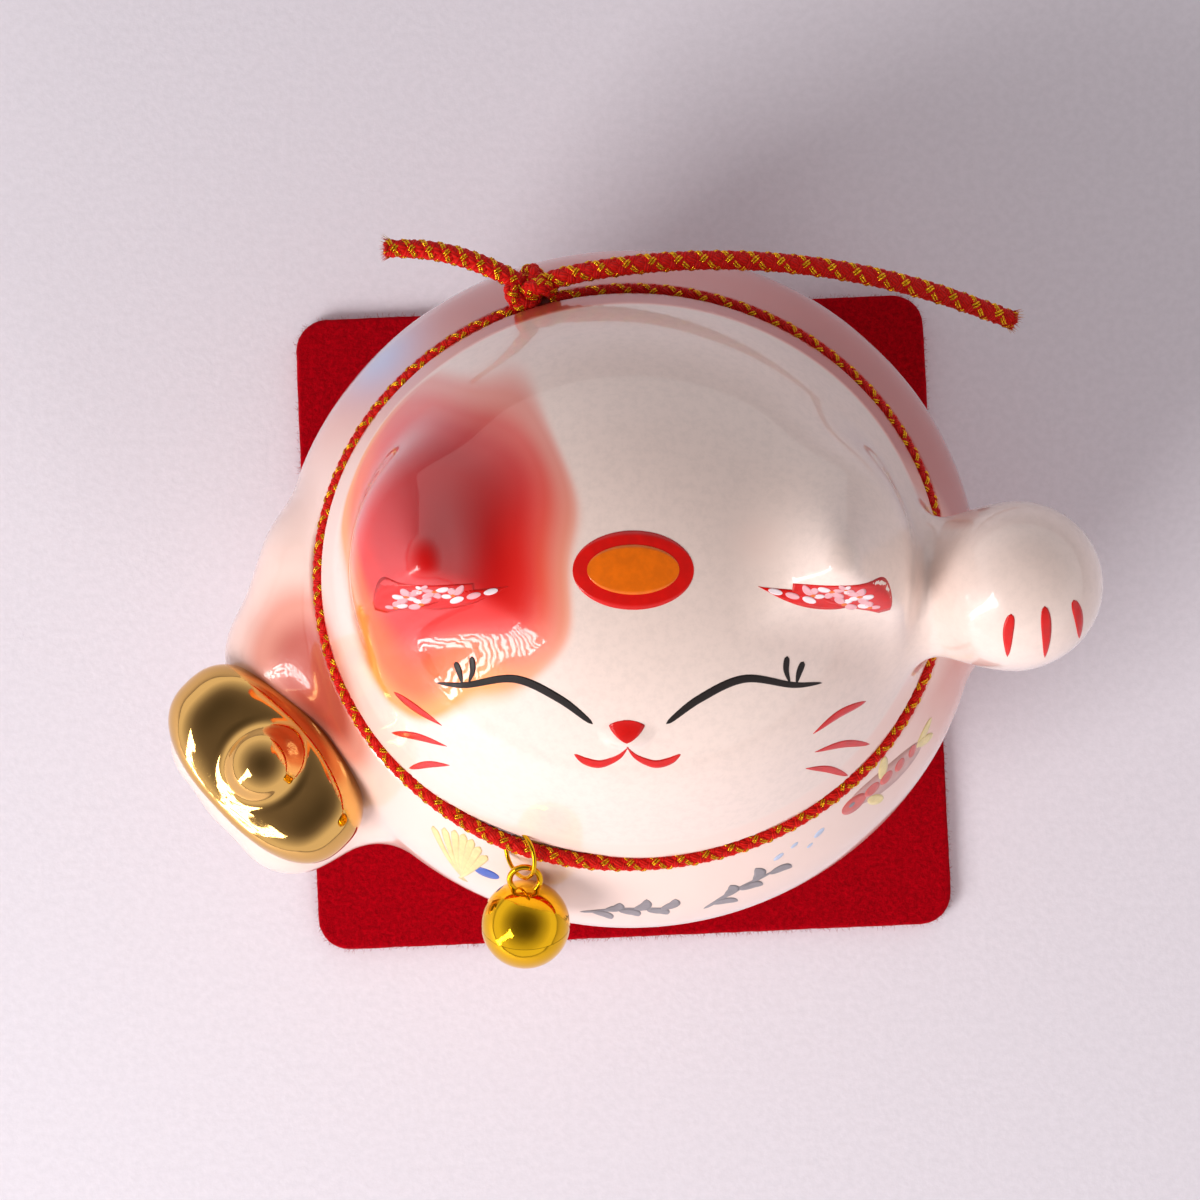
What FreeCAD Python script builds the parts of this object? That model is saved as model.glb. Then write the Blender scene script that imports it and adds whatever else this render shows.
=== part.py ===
"""Beckoning cat figurine: a hollow glazed ceramic cat with one paw raised and a gold ingot in
the other, a braided neck cord with a small round bell, and the square felt mat it stands on.

Millimetres. +Z is up, the cat faces -Y, and its raised paw is on +X. The origin is on the
surface that the mat lies on, straight below the middle of the cat.
"""

import math
import os

import FreeCAD
import Part

V = FreeCAD.Vector
UP = V(0, 0, 1)

# Felt mat
MAT_SIDE = 90.0
MAT_THICKNESS = 2.0
MAT_CORNER_R = 4.5
MAT_YAW_DEG = 2.5
MAT_SHIFT_X = -0.7
MAT_SHIFT_Y = -2.9

# Torso: two half ellipsoids that meet at the equator
TORSO_RX = 46.1
TORSO_RY = 44.6
TORSO_EQUATOR_Z = 36.0
TORSO_TOP_H = 32.0
TORSO_BOTTOM_H = 42.0

# Head: one ellipsoid, sunk into the torso
HEAD_RX = 37.0
HEAD_RY = 33.5
HEAD_RZ = 33.0
HEAD_Y = 0.6
HEAD_Z = 54.0

# Ceramic wall, foot ring and the hole that lets the air out in the kiln
WALL = 3.5
FLOOR = 4.0
FOOT_RECESS = 1.5
FOOT_RING_W = 4.5
VENT_R = 3.0

# Ears: a leaning cone whose front is cut flat
EAR_X = 22.4
EAR_Y = 0.6
EAR_BASE_R = 11.4
EAR_SINK = 6.5
EAR_TIP_R = 3.2
EAR_LENGTHWISE = 1.3
EAR_RISE = 8.6
EAR_LEAN_X = 1.6
EAR_FRONT_Y = -4.4
EAR_FRONT_TILT_DEG = 17.0

# Raised arm
PAW_R = 10.1
PAW_X = 46.8
PAW_Y = -1.4
PAW_Z = 71.0
ARM_R = 6.2
SHOULDER_Z = 40.0
WEB_HALF_W = 8.0
WEB_HALF_H = 5.0
WEB_DROP = 7.0
WEB_OVERLAP = 8.0

# Arm that holds the ingot, as a chain of round joints: (x, y, z, radius). The shoulder's height is
# counted down from the neck cord above it.
SHOULDER_X = -39.6
SHOULDER_Y = 2.0
SHOULDER_R = 8.3
SHOULDER_DROP = 11.5
HOLDING_ELBOW = (-43.5, -9.0, 39.5, 8.8)
HOLDING_WRIST = (-44.5, -16.0, 33.5, 8.2)
HAND_R = 7.8
HAND_REACH = 6.4
HAND_OUT = 2.7
HAND_HEEL = (-33.5, -26.0, 33.0, 6.6)

# Gold ingot: a boat with a round knob in the middle
INGOT_L = 29.4
INGOT_W = 17.0
INGOT_HALF_H = 7.75
INGOT_X = -46.9
INGOT_Y = -23.1
INGOT_YAW_DEG = -46.5
INGOT_SADDLE_R = 17.0
INGOT_SADDLE_DEPTH = 3.6
INGOT_KNOB_R = 4.6
INGOT_KNOB_RISE = 3.6
INGOT_SEAT = 4.0
HAND_Z = 33.0

# Tail, low on the back
TAIL_R = 6.0
TAIL_Z = 17.0
TAIL_X = 4.0
TAIL_PROUD = 3.4

# Neck cord
CORD_D = 2.2
CORD_LATITUDE_DEG = 36.25
CORD_LATITUDE_SIDES_DEG = -2.0
CORD_LATITUDE_BACK_DEG = -1.05
CORD_GAP = 0.3
CORD_POINTS = 48
KNOT_ANGLE_DEG = 161.5
KNOT_HALF_ANGLE_DEG = 3.0
KNOT_R = 3.5
KNOT_FLAT = 0.82
KNOT_OUT = 0.45
KNOT_DROP_DEG = 1.6
FREE_CORD_RUN = 0.45

# Jump ring, round the cord
BELL_ANGLE_DEG = 21.5
LIFT_PER_BELL_R = 0.2411
RISE_AT_BELL_DEG = 1.2
LIFT_HALF_ANGLE_DEG = 26.0
RING_R = 3.1
RING_WIRE_R = 0.28
RING_GAP_DEG = 7.0
RING_GAP_AT_DEG = 200.0
RING_TWIST_DEG = 41.5
RING_HANG = 1.0
RING_HOLD_DEG = 50.0

# Bell
BELL_R = 5.6
BELL_WALL = 0.4
BELL_SEAM = 0.05
BELL_DIP_DEG = 32.0
BELL_SLOT_W = 1.2
BELL_SLOT_HOLE_R = 1.1
BELL_SLOT_HALF = 3.6
LOOP_R = 1.9
LOOP_WIRE_R = 0.38
LOOP_OUT_PER_BELL_R = 0.1964
LOOP_SLACK = 0.3
LOOP_TURN_DEG = 20.0
PELLET_R = 1.5
PELLET_CLEAR = 0.3

# The free ends of the neck cord: where each leaves the knot, counted from half a cord outside the
# knot's middle, how far it reaches along X, and how much it climbs at first and falls away after
# that, backwards (Y) and upwards (Z)
CORD_END_D = 2.6
LONG_OFFSET = (4.5, 0.6, 0.8)
LONG_REACH = 57.0
LONG_CLIMB = (10.8, 7.4)
LONG_FALL = (15.8, 12.4)
LONG_POINTS = 9
SHORT_OFFSET = (-3.5, 1.1, 0.4)
SHORT_REACH = -14.2
SHORT_CLIMB = (6.8, 1.5)
SHORT_FALL = (3.8, 1.8)
SHORT_POINTS = 5


def export(name, shape):
    """Writes one node, after checking that it is closed solids."""
    assert shape.Solids and shape.isValid(), name
    solid = shape.Solids[0] if len(shape.Solids) == 1 else Part.makeCompound(shape.Solids)
    solid.exportStep(f"parts/{name}.step")
    box = solid.BoundBox
    print(f"{name}: {len(shape.Solids)} solid, {shape.Volume:.1f} mm3, "
          f"x {box.XMin:.1f}..{box.XMax:.1f} y {box.YMin:.1f}..{box.YMax:.1f} "
          f"z {box.ZMin:.1f}..{box.ZMax:.1f}")


def scaled(shape, sx, sy, sz):
    """A shape stretched along the axes, about the origin."""
    matrix = FreeCAD.Matrix()
    matrix.scale(sx, sy, sz)
    return shape.transformGeometry(matrix)


def ellipsoid(centre, rx, ry, rz):
    """A solid ellipsoid with its axes along X, Y and Z."""
    solid = scaled(Part.makeSphere(1.0), rx, ry, rz)
    solid.translate(centre)
    return solid


def capsule(start, end, r_start, r_end):
    """Two balls and the cone tangent to both."""
    axis = end - start
    length = axis.Length
    axis.normalize()
    sine = (r_start - r_end) / length
    cosine = math.sqrt(1 - sine * sine)
    base = start + axis * (r_start * sine)
    height = length - (r_start - r_end) * sine
    if abs(r_start - r_end) < 1e-6:
        middle = Part.makeCylinder(r_start, length, start, axis)
    else:
        middle = Part.makeCone(r_start * cosine, r_end * cosine, height, base, axis)
    return Part.makeSphere(r_start, start).fuse([middle, Part.makeSphere(r_end, end)])


def rotate_about(shape, point, axis, degrees):
    """A copy of a shape, turned about an axis through a point."""
    turned = shape.copy()
    turned.rotate(point, axis, degrees)
    return turned


# ---------------------------------------------------------------- torso, head and ears

def torso_point(azimuth, latitude, out=0.0):
    """A point on the torso's upper half, or that far out along its normal.

    Azimuth is counted from the front, positive towards +X, and both angles are in radians.
    """
    cos_lat, sin_lat = math.cos(latitude), math.sin(latitude)
    point = V(TORSO_RX * cos_lat * math.sin(azimuth), -TORSO_RY * cos_lat * math.cos(azimuth),
              TORSO_EQUATOR_Z + TORSO_TOP_H * sin_lat)
    normal = V(cos_lat * math.sin(azimuth) / TORSO_RX, -cos_lat * math.cos(azimuth) / TORSO_RY,
               sin_lat / TORSO_TOP_H)
    normal.normalize()
    return point + normal * out, normal


def head_top_z(x, y):
    """Height of the head's surface above a place in plan."""
    share = 1 - (x / HEAD_RX) ** 2 - ((y - HEAD_Y) / HEAD_RY) ** 2
    return HEAD_Z + HEAD_RZ * math.sqrt(share)


def torso(inset, floor_z):
    """The torso, smaller by inset all round, cut flat at floor_z."""
    rx, top_h, bottom_h = TORSO_RX - inset, TORSO_TOP_H - inset, TORSO_BOTTOM_H - inset
    upper = scaled(Part.makeSphere(1.0, V(0, 0, 0), UP, 0, 90, 360), rx, rx, top_h)
    lower = scaled(Part.makeSphere(1.0, V(0, 0, 0), UP, -90, 0, 360), rx, rx, bottom_h)
    solid = scaled(upper.fuse(lower), 1, (TORSO_RY - inset) / rx, 1)
    solid.translate(V(0, 0, TORSO_EQUATOR_Z))
    side = 4 * rx
    below = Part.makeBox(side, side, side, V(-side / 2, -side / 2, floor_z - side))
    return solid.cut(below)


def head(inset):
    """The head, smaller by inset all round."""
    return ellipsoid(V(0, HEAD_Y, HEAD_Z), HEAD_RX - inset, HEAD_RY - inset, HEAD_RZ - inset)


def ear(side):
    """One ear, reaching down into the head; side is -1 or 1."""
    surface_z = head_top_z(EAR_X, EAR_Y)
    height = EAR_SINK + EAR_RISE - EAR_TIP_R
    cone = capsule(V(0, 0, 0), V(side * EAR_LEAN_X, 0, height), EAR_BASE_R, EAR_TIP_R)
    cone = scaled(cone, 1, EAR_LENGTHWISE, 1)
    cone.translate(V(side * EAR_X, EAR_Y, surface_z - EAR_SINK))
    size = 4 * EAR_BASE_R
    front = Part.makeBox(size, size, size, V(side * EAR_X - size / 2, EAR_FRONT_Y - size, surface_z - size / 2))
    front = rotate_about(front, V(0, EAR_FRONT_Y, surface_z), V(1, 0, 0), -EAR_FRONT_TILT_DEG)
    return cone.cut(front)


def ceramic_outside():
    """The glazed outside of torso, head and ears as one solid."""
    return torso(0.0, MAT_THICKNESS).fuse([head(0.0), ear(-1), ear(1)])


def body_shell(outside):
    """The hollow casting: one wall all round, a foot ring and the vent hole."""
    inside = torso(WALL, MAT_THICKNESS + FLOOR).fuse(head(WALL))
    foot_r = TORSO_RY * math.sqrt(1 - ((TORSO_EQUATOR_Z - MAT_THICKNESS) / TORSO_BOTTOM_H) ** 2)
    recess = Part.makeCylinder(foot_r - FOOT_RING_W, FOOT_RECESS, V(0, 0, MAT_THICKNESS))
    vent = Part.makeCylinder(VENT_R, 2 * FLOOR, V(0, 0, MAT_THICKNESS))
    return outside.cut([inside, recess, vent])


# ---------------------------------------------------------------- arms, ingot and tail

def raised_arm(outside, cord_tunnel):
    """Upper arm, paw and the web that joins the paw to the head."""
    paw = V(PAW_X, PAW_Y, PAW_Z)
    shoulder = V(PAW_X - 1.0, PAW_Y, SHOULDER_Z)
    web_from = HEAD_RX - WEB_OVERLAP
    web = Part.makeCylinder(1.0, PAW_X - web_from - PAW_R / 3, V(0, 0, 0), V(1, 0, 0))
    web = scaled(web, 1, WEB_HALF_W, WEB_HALF_H)
    web.translate(V(web_from, PAW_Y, PAW_Z - WEB_DROP))
    upper_arm = capsule(shoulder, V(PAW_X + 0.4, PAW_Y, PAW_Z - PAW_R / 2), ARM_R + 1.2, ARM_R + 0.8)
    arm = Part.makeSphere(PAW_R, paw).fuse([upper_arm, web])
    return arm.cut([outside, cord_tunnel])


def hand_axis():
    """Unit vector along the ingot and the hand beneath it."""
    yaw = math.radians(INGOT_YAW_DEG)
    return V(math.cos(yaw), math.sin(yaw), 0)


def holding_arm(outside, ingot):
    """Shoulder, elbow, wrist and the hand under the ingot."""
    shoulder_z = cord_point(-math.pi / 2).z - SHOULDER_DROP
    joints = [(SHOULDER_X, SHOULDER_Y, shoulder_z, SHOULDER_R), HOLDING_ELBOW, HOLDING_WRIST]
    pieces = [
        capsule(V(*a[:3]), V(*b[:3]), a[3], b[3]) for a, b in zip(joints, joints[1:])
    ]
    along = hand_axis()
    middle = V(INGOT_X, INGOT_Y, HAND_Z) + V(along.y, -along.x, 0) * HAND_OUT
    reach = along * HAND_REACH
    pieces.append(capsule(V(*joints[-1][:3]), middle, joints[-1][3], HAND_R))
    pieces.append(capsule(middle - reach, middle + reach, HAND_R - 0.4, HAND_R - 0.2))
    pieces.append(capsule(middle + reach, V(*HAND_HEEL[:3]), HAND_R - 0.2, HAND_HEEL[3]))
    return pieces[0].fuse(pieces[1:]).cut([outside, ingot])


def gold_ingot():
    """Boat-shaped ingot: an ellipsoid with a saddle across its top and a knob in the middle."""
    base_z = HAND_Z + HAND_R - INGOT_SEAT
    centre = V(0, 0, INGOT_HALF_H)
    boat = ellipsoid(centre, INGOT_L / 2, INGOT_W / 2, INGOT_HALF_H)
    saddle_low = 2 * INGOT_HALF_H - INGOT_SADDLE_DEPTH
    saddle = Part.makeCylinder(INGOT_SADDLE_R, 2 * INGOT_W, V(0, -INGOT_W, saddle_low + INGOT_SADDLE_R), V(0, 1, 0))
    knob = ellipsoid(V(0, 0, saddle_low), INGOT_KNOB_R, INGOT_KNOB_R, INGOT_KNOB_RISE)
    solid = boat.cut(saddle).fuse(knob)
    solid.rotate(V(0, 0, 0), UP, INGOT_YAW_DEG)
    solid.translate(V(INGOT_X, INGOT_Y, base_z))
    return solid


def tail_stub(outside):
    """A short round tail, curled against the lower back."""
    level = math.sqrt(1 - ((TORSO_EQUATOR_Z - TAIL_Z) / TORSO_BOTTOM_H) ** 2)
    depth = TORSO_RY * level + TAIL_PROUD - TAIL_R
    tip = V(TAIL_X, depth, TAIL_Z)
    root = V(-TAIL_X, depth - 2.0, TAIL_Z - 3.0)
    return capsule(root, tip, TAIL_R, TAIL_R - 0.6).cut(outside)


# ---------------------------------------------------------------- neck cord

def bell_share(azimuth):
    """1 where the jump ring goes under the cord, falling smoothly to 0 on both sides of it."""
    away = abs(azimuth + math.radians(BELL_ANGLE_DEG)) / math.radians(LIFT_HALF_ANGLE_DEG)
    return 0.5 + 0.5 * math.cos(math.pi * min(1.0, away))


def cord_latitude(azimuth):
    """Latitude of the neck crease in radians: lower at the sides and at the back."""
    degrees = CORD_LATITUDE_DEG - CORD_LATITUDE_SIDES_DEG * math.cos(2 * azimuth)
    degrees -= CORD_LATITUDE_BACK_DEG * math.cos(azimuth)
    return math.radians(degrees + RISE_AT_BELL_DEG * bell_share(azimuth))


def cord_point(azimuth):
    """A point on the neck cord's centreline, at an azimuth from the front in radians."""
    lift = CORD_GAP + LIFT_PER_BELL_R * BELL_R * bell_share(azimuth)
    return torso_point(azimuth, cord_latitude(azimuth), CORD_D / 2 + lift)[0]


def rounded_path(points):
    """Straight runs through the points, joined by tangent arcs as large as the runs allow."""
    edges = []
    here = points[0]
    radii = []
    for before, corner, after in zip(points, points[1:], points[2:]):
        first, second = corner - before, after - corner
        tangent = FREE_CORD_RUN * min(first.Length, second.Length)
        first.normalize()
        second.normalize()
        half_turn = first.getAngle(second) / 2
        radius = tangent / math.tan(half_turn)
        inward = second - first
        inward.normalize()
        centre = corner + inward * (radius / math.cos(half_turn))
        arc_start, arc_end = corner - first * tangent, corner + second * tangent
        edges.append(Part.LineSegment(here, arc_start).toShape())
        edges.append(Part.Arc(arc_start, centre - inward * radius, arc_end).toShape())
        here = arc_end
        radii.append(radius)
    edges.append(Part.LineSegment(here, points[-1]).toShape())
    return Part.Wire(edges), radii


def cord_tube(name, points, diameter):
    """A round tube along the rounded path through the points."""
    path, radii = rounded_path(points)
    circle = Part.Circle(points[0], points[1] - points[0], diameter / 2).toShape()
    tube = path.makePipeShell([Part.Wire([circle])], True, False)
    expected = math.pi * diameter ** 2 / 4 * path.Length
    print(f"{name}: {path.Length:.1f} mm long, tightest arc {min(radii):.1f} mm, "
          f"volume is {tube.Volume / expected:.3f} of section times length")
    return tube


def knot_centre():
    """Middle of the knot, on the back of the neck."""
    azimuth = -math.radians(KNOT_ANGLE_DEG)
    latitude = cord_latitude(azimuth) - math.radians(KNOT_DROP_DEG)
    return torso_point(azimuth, latitude, KNOT_R * KNOT_FLAT + KNOT_OUT)


def cord_knot():
    """The knot, flattened against the torso."""
    centre, normal = knot_centre()
    ball = ellipsoid(V(0, 0, 0), KNOT_R, KNOT_R, KNOT_R * KNOT_FLAT)
    turn = FreeCAD.Rotation(UP, normal)
    ball.Placement = FreeCAD.Placement(centre, turn)
    return ball


def collar_cord(knot):
    """The stretch of cord round the neck, from one side of the knot to the other."""
    start = -math.radians(KNOT_ANGLE_DEG - KNOT_HALF_ANGLE_DEG)
    end = 2 * math.pi - math.radians(KNOT_ANGLE_DEG + KNOT_HALF_ANGLE_DEG)
    points = [
        cord_point(start + (end - start) * i / (CORD_POINTS - 1)) for i in range(CORD_POINTS)
    ]
    return cord_tube("collar_cord", points, CORD_D).cut(knot)


def end_route(offset, reach, climb, fall, count):
    """Points of a free end: even steps along X, and a parabola in Y and in Z."""
    centre, normal = knot_centre()
    start = centre + normal * (CORD_D / 2) + V(*offset)
    steps = [i / (count - 1) for i in range(count)]
    return [
        start + V(reach * t, climb[0] * t - fall[0] * t * t, climb[1] * t - fall[1] * t * t)
        for t in steps
    ]


def free_end(name, route, knot):
    """One free end of the cord, cut where it leaves the knot."""
    centre = knot_centre()[0]
    inner = centre + (route[0] - centre) * 0.35
    return cord_tube(name, [inner] + route, CORD_END_D).cut(knot)


# ---------------------------------------------------------------- jump ring and bell

def ring_frame():
    """Cord centre at the ring, then unit vectors along the cord, off the torso and down its slope."""
    azimuth = -math.radians(BELL_ANGLE_DEG)
    step = 0.01
    along = cord_point(azimuth + step) - cord_point(azimuth - step)
    along.normalize()
    normal = torso_point(azimuth, cord_latitude(azimuth))[1]
    normal = normal - along * normal.dot(along)
    normal.normalize()
    down = along.cross(normal) * -1
    if down.z > 0:
        down = down * -1
    return cord_point(azimuth), along, normal, down


def ring_axes():
    """Centre of the jump ring and its two in-plane unit vectors."""
    cord, along, normal, down = ring_frame()
    twist = math.radians(RING_TWIST_DEG)
    across = along * math.cos(twist) + normal * math.sin(twist)
    return cord + down * RING_HANG, across, down


def ring_hold():
    """Where the bell's loop hangs on the jump ring, and the wire's direction there."""
    centre, across, down = ring_axes()
    turn = math.radians(RING_HOLD_DEG)
    point = centre + (across * math.cos(turn) + down * math.sin(turn)) * RING_R
    return point, down * math.cos(turn) - across * math.sin(turn)


def jump_ring():
    """A wire ring with a small opening, threaded round the neck cord."""
    centre, across, down = ring_axes()
    axis = across.cross(down)
    ring = Part.makeTorus(RING_R, RING_WIRE_R, centre, axis)
    angle = math.radians(RING_GAP_AT_DEG)
    outward = across * math.cos(angle) + down * math.sin(angle)
    width = RING_R * math.radians(RING_GAP_DEG)
    opening = Part.makeBox(2 * width, width, 4 * RING_WIRE_R, V(-width, -width / 2, -2 * RING_WIRE_R))
    matrix = FreeCAD.Matrix()
    sideways = axis.cross(outward)
    for row, values in enumerate(zip(outward, sideways, axis, centre + outward * RING_R)):
        for column, value in enumerate(values):
            setattr(matrix, f"A{row + 1}{column + 1}", value)
    opening.transformShape(matrix)
    return ring.cut(opening)


def bell_frame():
    """Middle of the bell's loop, middle of the bell and the unit vector from loop to bell."""
    dip = math.radians(BELL_DIP_DEG)
    axis = V(0, -math.cos(dip), -math.sin(dip))
    loop = ring_hold()[0] + axis * LOOP_SLACK
    return loop, loop + axis * (BELL_R * (1 + LOOP_OUT_PER_BELL_R)), axis


def bell_pieces():
    """The bell's cap, cup and loop."""
    loop, middle, axis = bell_frame()
    side = V(1, 0, 0)
    size = 3 * BELL_R
    shell = Part.makeSphere(BELL_R).cut(Part.makeSphere(BELL_R - BELL_WALL))
    half = Part.makeBox(size, size, size, V(-size / 2, -size / 2, BELL_SEAM / 2))
    cap = shell.common(half)
    cup = shell.common(rotate_about(half, V(0, 0, 0), V(1, 0, 0), 180))
    slot = Part.makeBox(2 * BELL_SLOT_HALF, BELL_SLOT_W, size, V(-BELL_SLOT_HALF, -BELL_SLOT_W / 2, -size))
    holes = [
        Part.makeCylinder(BELL_SLOT_HOLE_R, size, V(sign * BELL_SLOT_HALF, 0, -size)) for sign in (-1, 1)
    ]
    cup = cup.cut([slot] + holes)
    hanger = Part.makeTorus(LOOP_R, LOOP_WIRE_R, V(0, 0, BELL_R * (1 + LOOP_OUT_PER_BELL_R)), V(0, 1, 0))
    hanger = hanger.cut(Part.makeSphere(BELL_R))
    hanger.rotate(V(0, 0, 0), UP, LOOP_TURN_DEG)
    rotation = FreeCAD.Rotation(side, side.cross(axis) * -1, axis * -1, "XZY")
    for piece in (cap, cup, hanger):
        piece.Placement = FreeCAD.Placement(middle, rotation)
    return cap, cup, hanger


def bell_pellet():
    """The loose ball, lying at the bell's lowest place."""
    _, middle, _ = bell_frame()
    drop = BELL_R - BELL_WALL - PELLET_R - PELLET_CLEAR
    return Part.makeSphere(PELLET_R, middle - UP * drop)


# ---------------------------------------------------------------- mat

def felt_mat():
    """The square of felt, with round corners, lying a little askew."""
    half = MAT_SIDE / 2
    mat = Part.makeBox(MAT_SIDE, MAT_SIDE, MAT_THICKNESS, V(-half, -half, 0))
    upright = [e for e in mat.Edges if abs(e.tangentAt(e.FirstParameter).z) > 0.99]
    mat = mat.makeFillet(MAT_CORNER_R, upright)
    mat.rotate(V(0, 0, 0), UP, MAT_YAW_DEG)
    mat.translate(V(MAT_SHIFT_X, MAT_SHIFT_Y, 0))
    return mat


def main():
    os.makedirs("parts", exist_ok=True)
    outside = ceramic_outside()
    knot = cord_knot()
    collar = collar_cord(knot)
    tunnel_points = [cord_point(math.radians(a)) for a in range(60, 121, 10)]
    tunnel = cord_tube("cord_tunnel", tunnel_points, CORD_D + 0.8)
    ingot = gold_ingot().cut(outside)
    cap, cup, hanger = bell_pieces()
    long_route = end_route(LONG_OFFSET, LONG_REACH, LONG_CLIMB, LONG_FALL, LONG_POINTS)
    short_route = end_route(SHORT_OFFSET, SHORT_REACH, SHORT_CLIMB, SHORT_FALL, SHORT_POINTS)
    nodes = {
        "body_shell": body_shell(outside),
        "raised_arm": raised_arm(outside, tunnel),
        "holding_arm": holding_arm(outside, ingot),
        "tail_stub": tail_stub(outside),
        "gold_ingot": ingot,
        "felt_mat": felt_mat(),
        "collar_cord": collar,
        "cord_knot": knot,
        "cord_end_long": free_end("cord_end_long", long_route, knot),
        "cord_end_short": free_end("cord_end_short", short_route, knot),
        "jump_ring": jump_ring(),
        "bell_cap": cap,
        "bell_cup": cup,
        "bell_loop": hanger,
        "bell_pellet": bell_pellet(),
    }
    for name, shape in nodes.items():
        export(name, shape)
    cord, along, _, _ = ring_frame()
    hold, wire = ring_hold()
    print("jump ring turns about", cord, "along", along)
    print("bell turns about", hold, "along", wire, "and its middle is", bell_frame()[1])


main()
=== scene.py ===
"""Looks of the beckoning cat figurine: glaze, painted marks, gilding, braided cord, bell, felt mat
and the table that it stands on.

Everything is worked out in millimetres in the part's own frame (+Z up, the cat faces -Y, its
raised paw is on +X, the origin under the middle of the mat) and is scaled to metres at the end.
"""

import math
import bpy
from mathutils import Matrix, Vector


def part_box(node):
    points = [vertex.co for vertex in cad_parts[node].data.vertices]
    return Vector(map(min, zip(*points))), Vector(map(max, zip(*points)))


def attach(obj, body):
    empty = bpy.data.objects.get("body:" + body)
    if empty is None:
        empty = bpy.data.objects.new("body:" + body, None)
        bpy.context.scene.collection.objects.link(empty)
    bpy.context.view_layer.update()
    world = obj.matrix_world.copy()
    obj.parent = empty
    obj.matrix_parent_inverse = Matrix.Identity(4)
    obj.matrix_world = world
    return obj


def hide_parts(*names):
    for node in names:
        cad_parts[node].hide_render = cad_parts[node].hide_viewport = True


bl_info = {
    "name": "Beckoning Cat Figurine",
    "version": (1, 0, 0),
    "blender": (4, 5, 0),
    "location": "3D View > Sidebar > Cat Figurine",
    "description": "Builds the glazed cat, its cord, bell, ingot and felt mat",
    "category": "Object",
}

import bmesh
import bpy
import numpy as np
from mathutils import Vector

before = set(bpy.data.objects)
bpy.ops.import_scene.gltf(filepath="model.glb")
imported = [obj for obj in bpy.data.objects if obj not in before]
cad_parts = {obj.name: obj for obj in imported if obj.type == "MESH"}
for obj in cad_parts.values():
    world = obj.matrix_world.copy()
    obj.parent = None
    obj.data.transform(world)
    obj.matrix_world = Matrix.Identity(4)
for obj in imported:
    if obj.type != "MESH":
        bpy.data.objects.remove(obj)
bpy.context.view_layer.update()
MM = 0.001
UP = np.array([0.0, 0.0, 1.0])

# Body, as in the part: torso of two half ellipsoids, head of one
TORSO_R = np.array([46.1, 44.6])
TORSO_Z = 36.0
TORSO_TOP_H = 32.0
TORSO_BOTTOM_H = 42.0
HEAD_C = np.array([0.0, 0.6, 54.0])
HEAD_R = np.array([37.0, 33.5, 33.0])
FOOT_Z = 2.0
EAR_C = np.array([22.4, 0.6])
EAR_SINK = 6.5
EAR_R = (11.4, 3.2)
EAR_RISE = 8.6
EAR_LEAN = 1.6
EAR_LENGTHWISE = 1.3
EAR_FRONT_Y = -4.4
EAR_FRONT_TILT = math.radians(17.0)
PAW_C = np.array([46.8, -1.4, 71.0])
PAW_R = 10.1
WEB_HALF = (8.0, 5.0)
WEB_DROP = 7.0
SHOULDER_Z = 40.0
ARM_R = 6.2
HOLDING = [(-39.6, 2.0, 43.5, 8.3), (-43.5, -9.0, 39.5, 8.8), (-44.5, -16.0, 33.5, 8.2)]
HAND_R = 7.8
HAND_REACH = 6.4
HAND_OUT = 2.7
HAND_Z = 33.0
HAND_HEEL = (-33.5, -26.0, 33.0, 6.6)
ARM_JOIN = 2.0
INGOT_C = np.array([-46.9, -23.1])
INGOT_SIZE = (29.4, 17.0)
INGOT_HALF_H = 7.75
INGOT_SADDLE = (17.0, 3.6)
INGOT_KNOB = (4.6, 3.6)
INGOT_YAW = math.radians(-46.5)
INGOT_SEAT = 4.0
TAIL = (6.0, 17.0, 4.0, 3.4)
NOSE_C = np.array([-0.7, -19.2, 79.9])
NOSE_R = np.array([2.5, 1.7, 1.0])
FACE_X = -0.4
SKIN_BOX = (-64, -51, 0.5), (61, 51, 91.5)

# Airbrushed colour: the red patch, warm or cool red, pink blush with painted shade in it, and the blue cloud
SPRAYS = ("patch", "warmth", "blush_and_shade", "frost")
PATCH_C = (-22.6, 5.0)
PATCH_HALF = (15.6, 20.5)
PATCH_TURN = (0.985, 0.17)
PATCH_POWER = 2.3
# Round spots of blush in the recess by the holding arm: a pink airbrushed accent, made deep to paint the shade
# in the recess
BLUSH_AND_SHADE_SPOTS = ((0.9, (-40.5, -10.0, 51.0), 9.5), (0.5, (-36.0, -18.0, 50.0), 7.0))
EAR_BLUSH = (0.10, 14.5, 3.0, 4.5)
CLOUD = (-33.0, 30.0, 6.0)

# Painted layers: how far they stand proud of the skin and go into it, and where strokes drop from
PAINT_PROUD = 0.035
PAINT_SUNK = 0.1
PAINT_DROP_Z = 96.0

# Felt mat
MAT_SIDE = 90.0
MAT_THICKNESS = 2.0
MAT_CORNER_R = 4.5
MAT_YAW_DEG = 2.5
MAT_SHIFT = np.array([-0.7, -2.9])
MAT_ROUND = 480

# Stage: room and curtain light, table top and camera; the curtain is in millimetres, the rest in metres
TABLE_HALF = 12.0
FILL_POWER = 1.2
ROOM_STRENGTH = 0.92
CURTAIN_GLOW = 16.0
CURTAIN_AWAY = 600
CURTAIN_TOP = 720
CAMERA_LENS = 96.6
CAMERA_PLACE = (-0.00386, -0.02157, 0.460)
CAMERA_TILT = math.radians(2.70)

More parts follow.
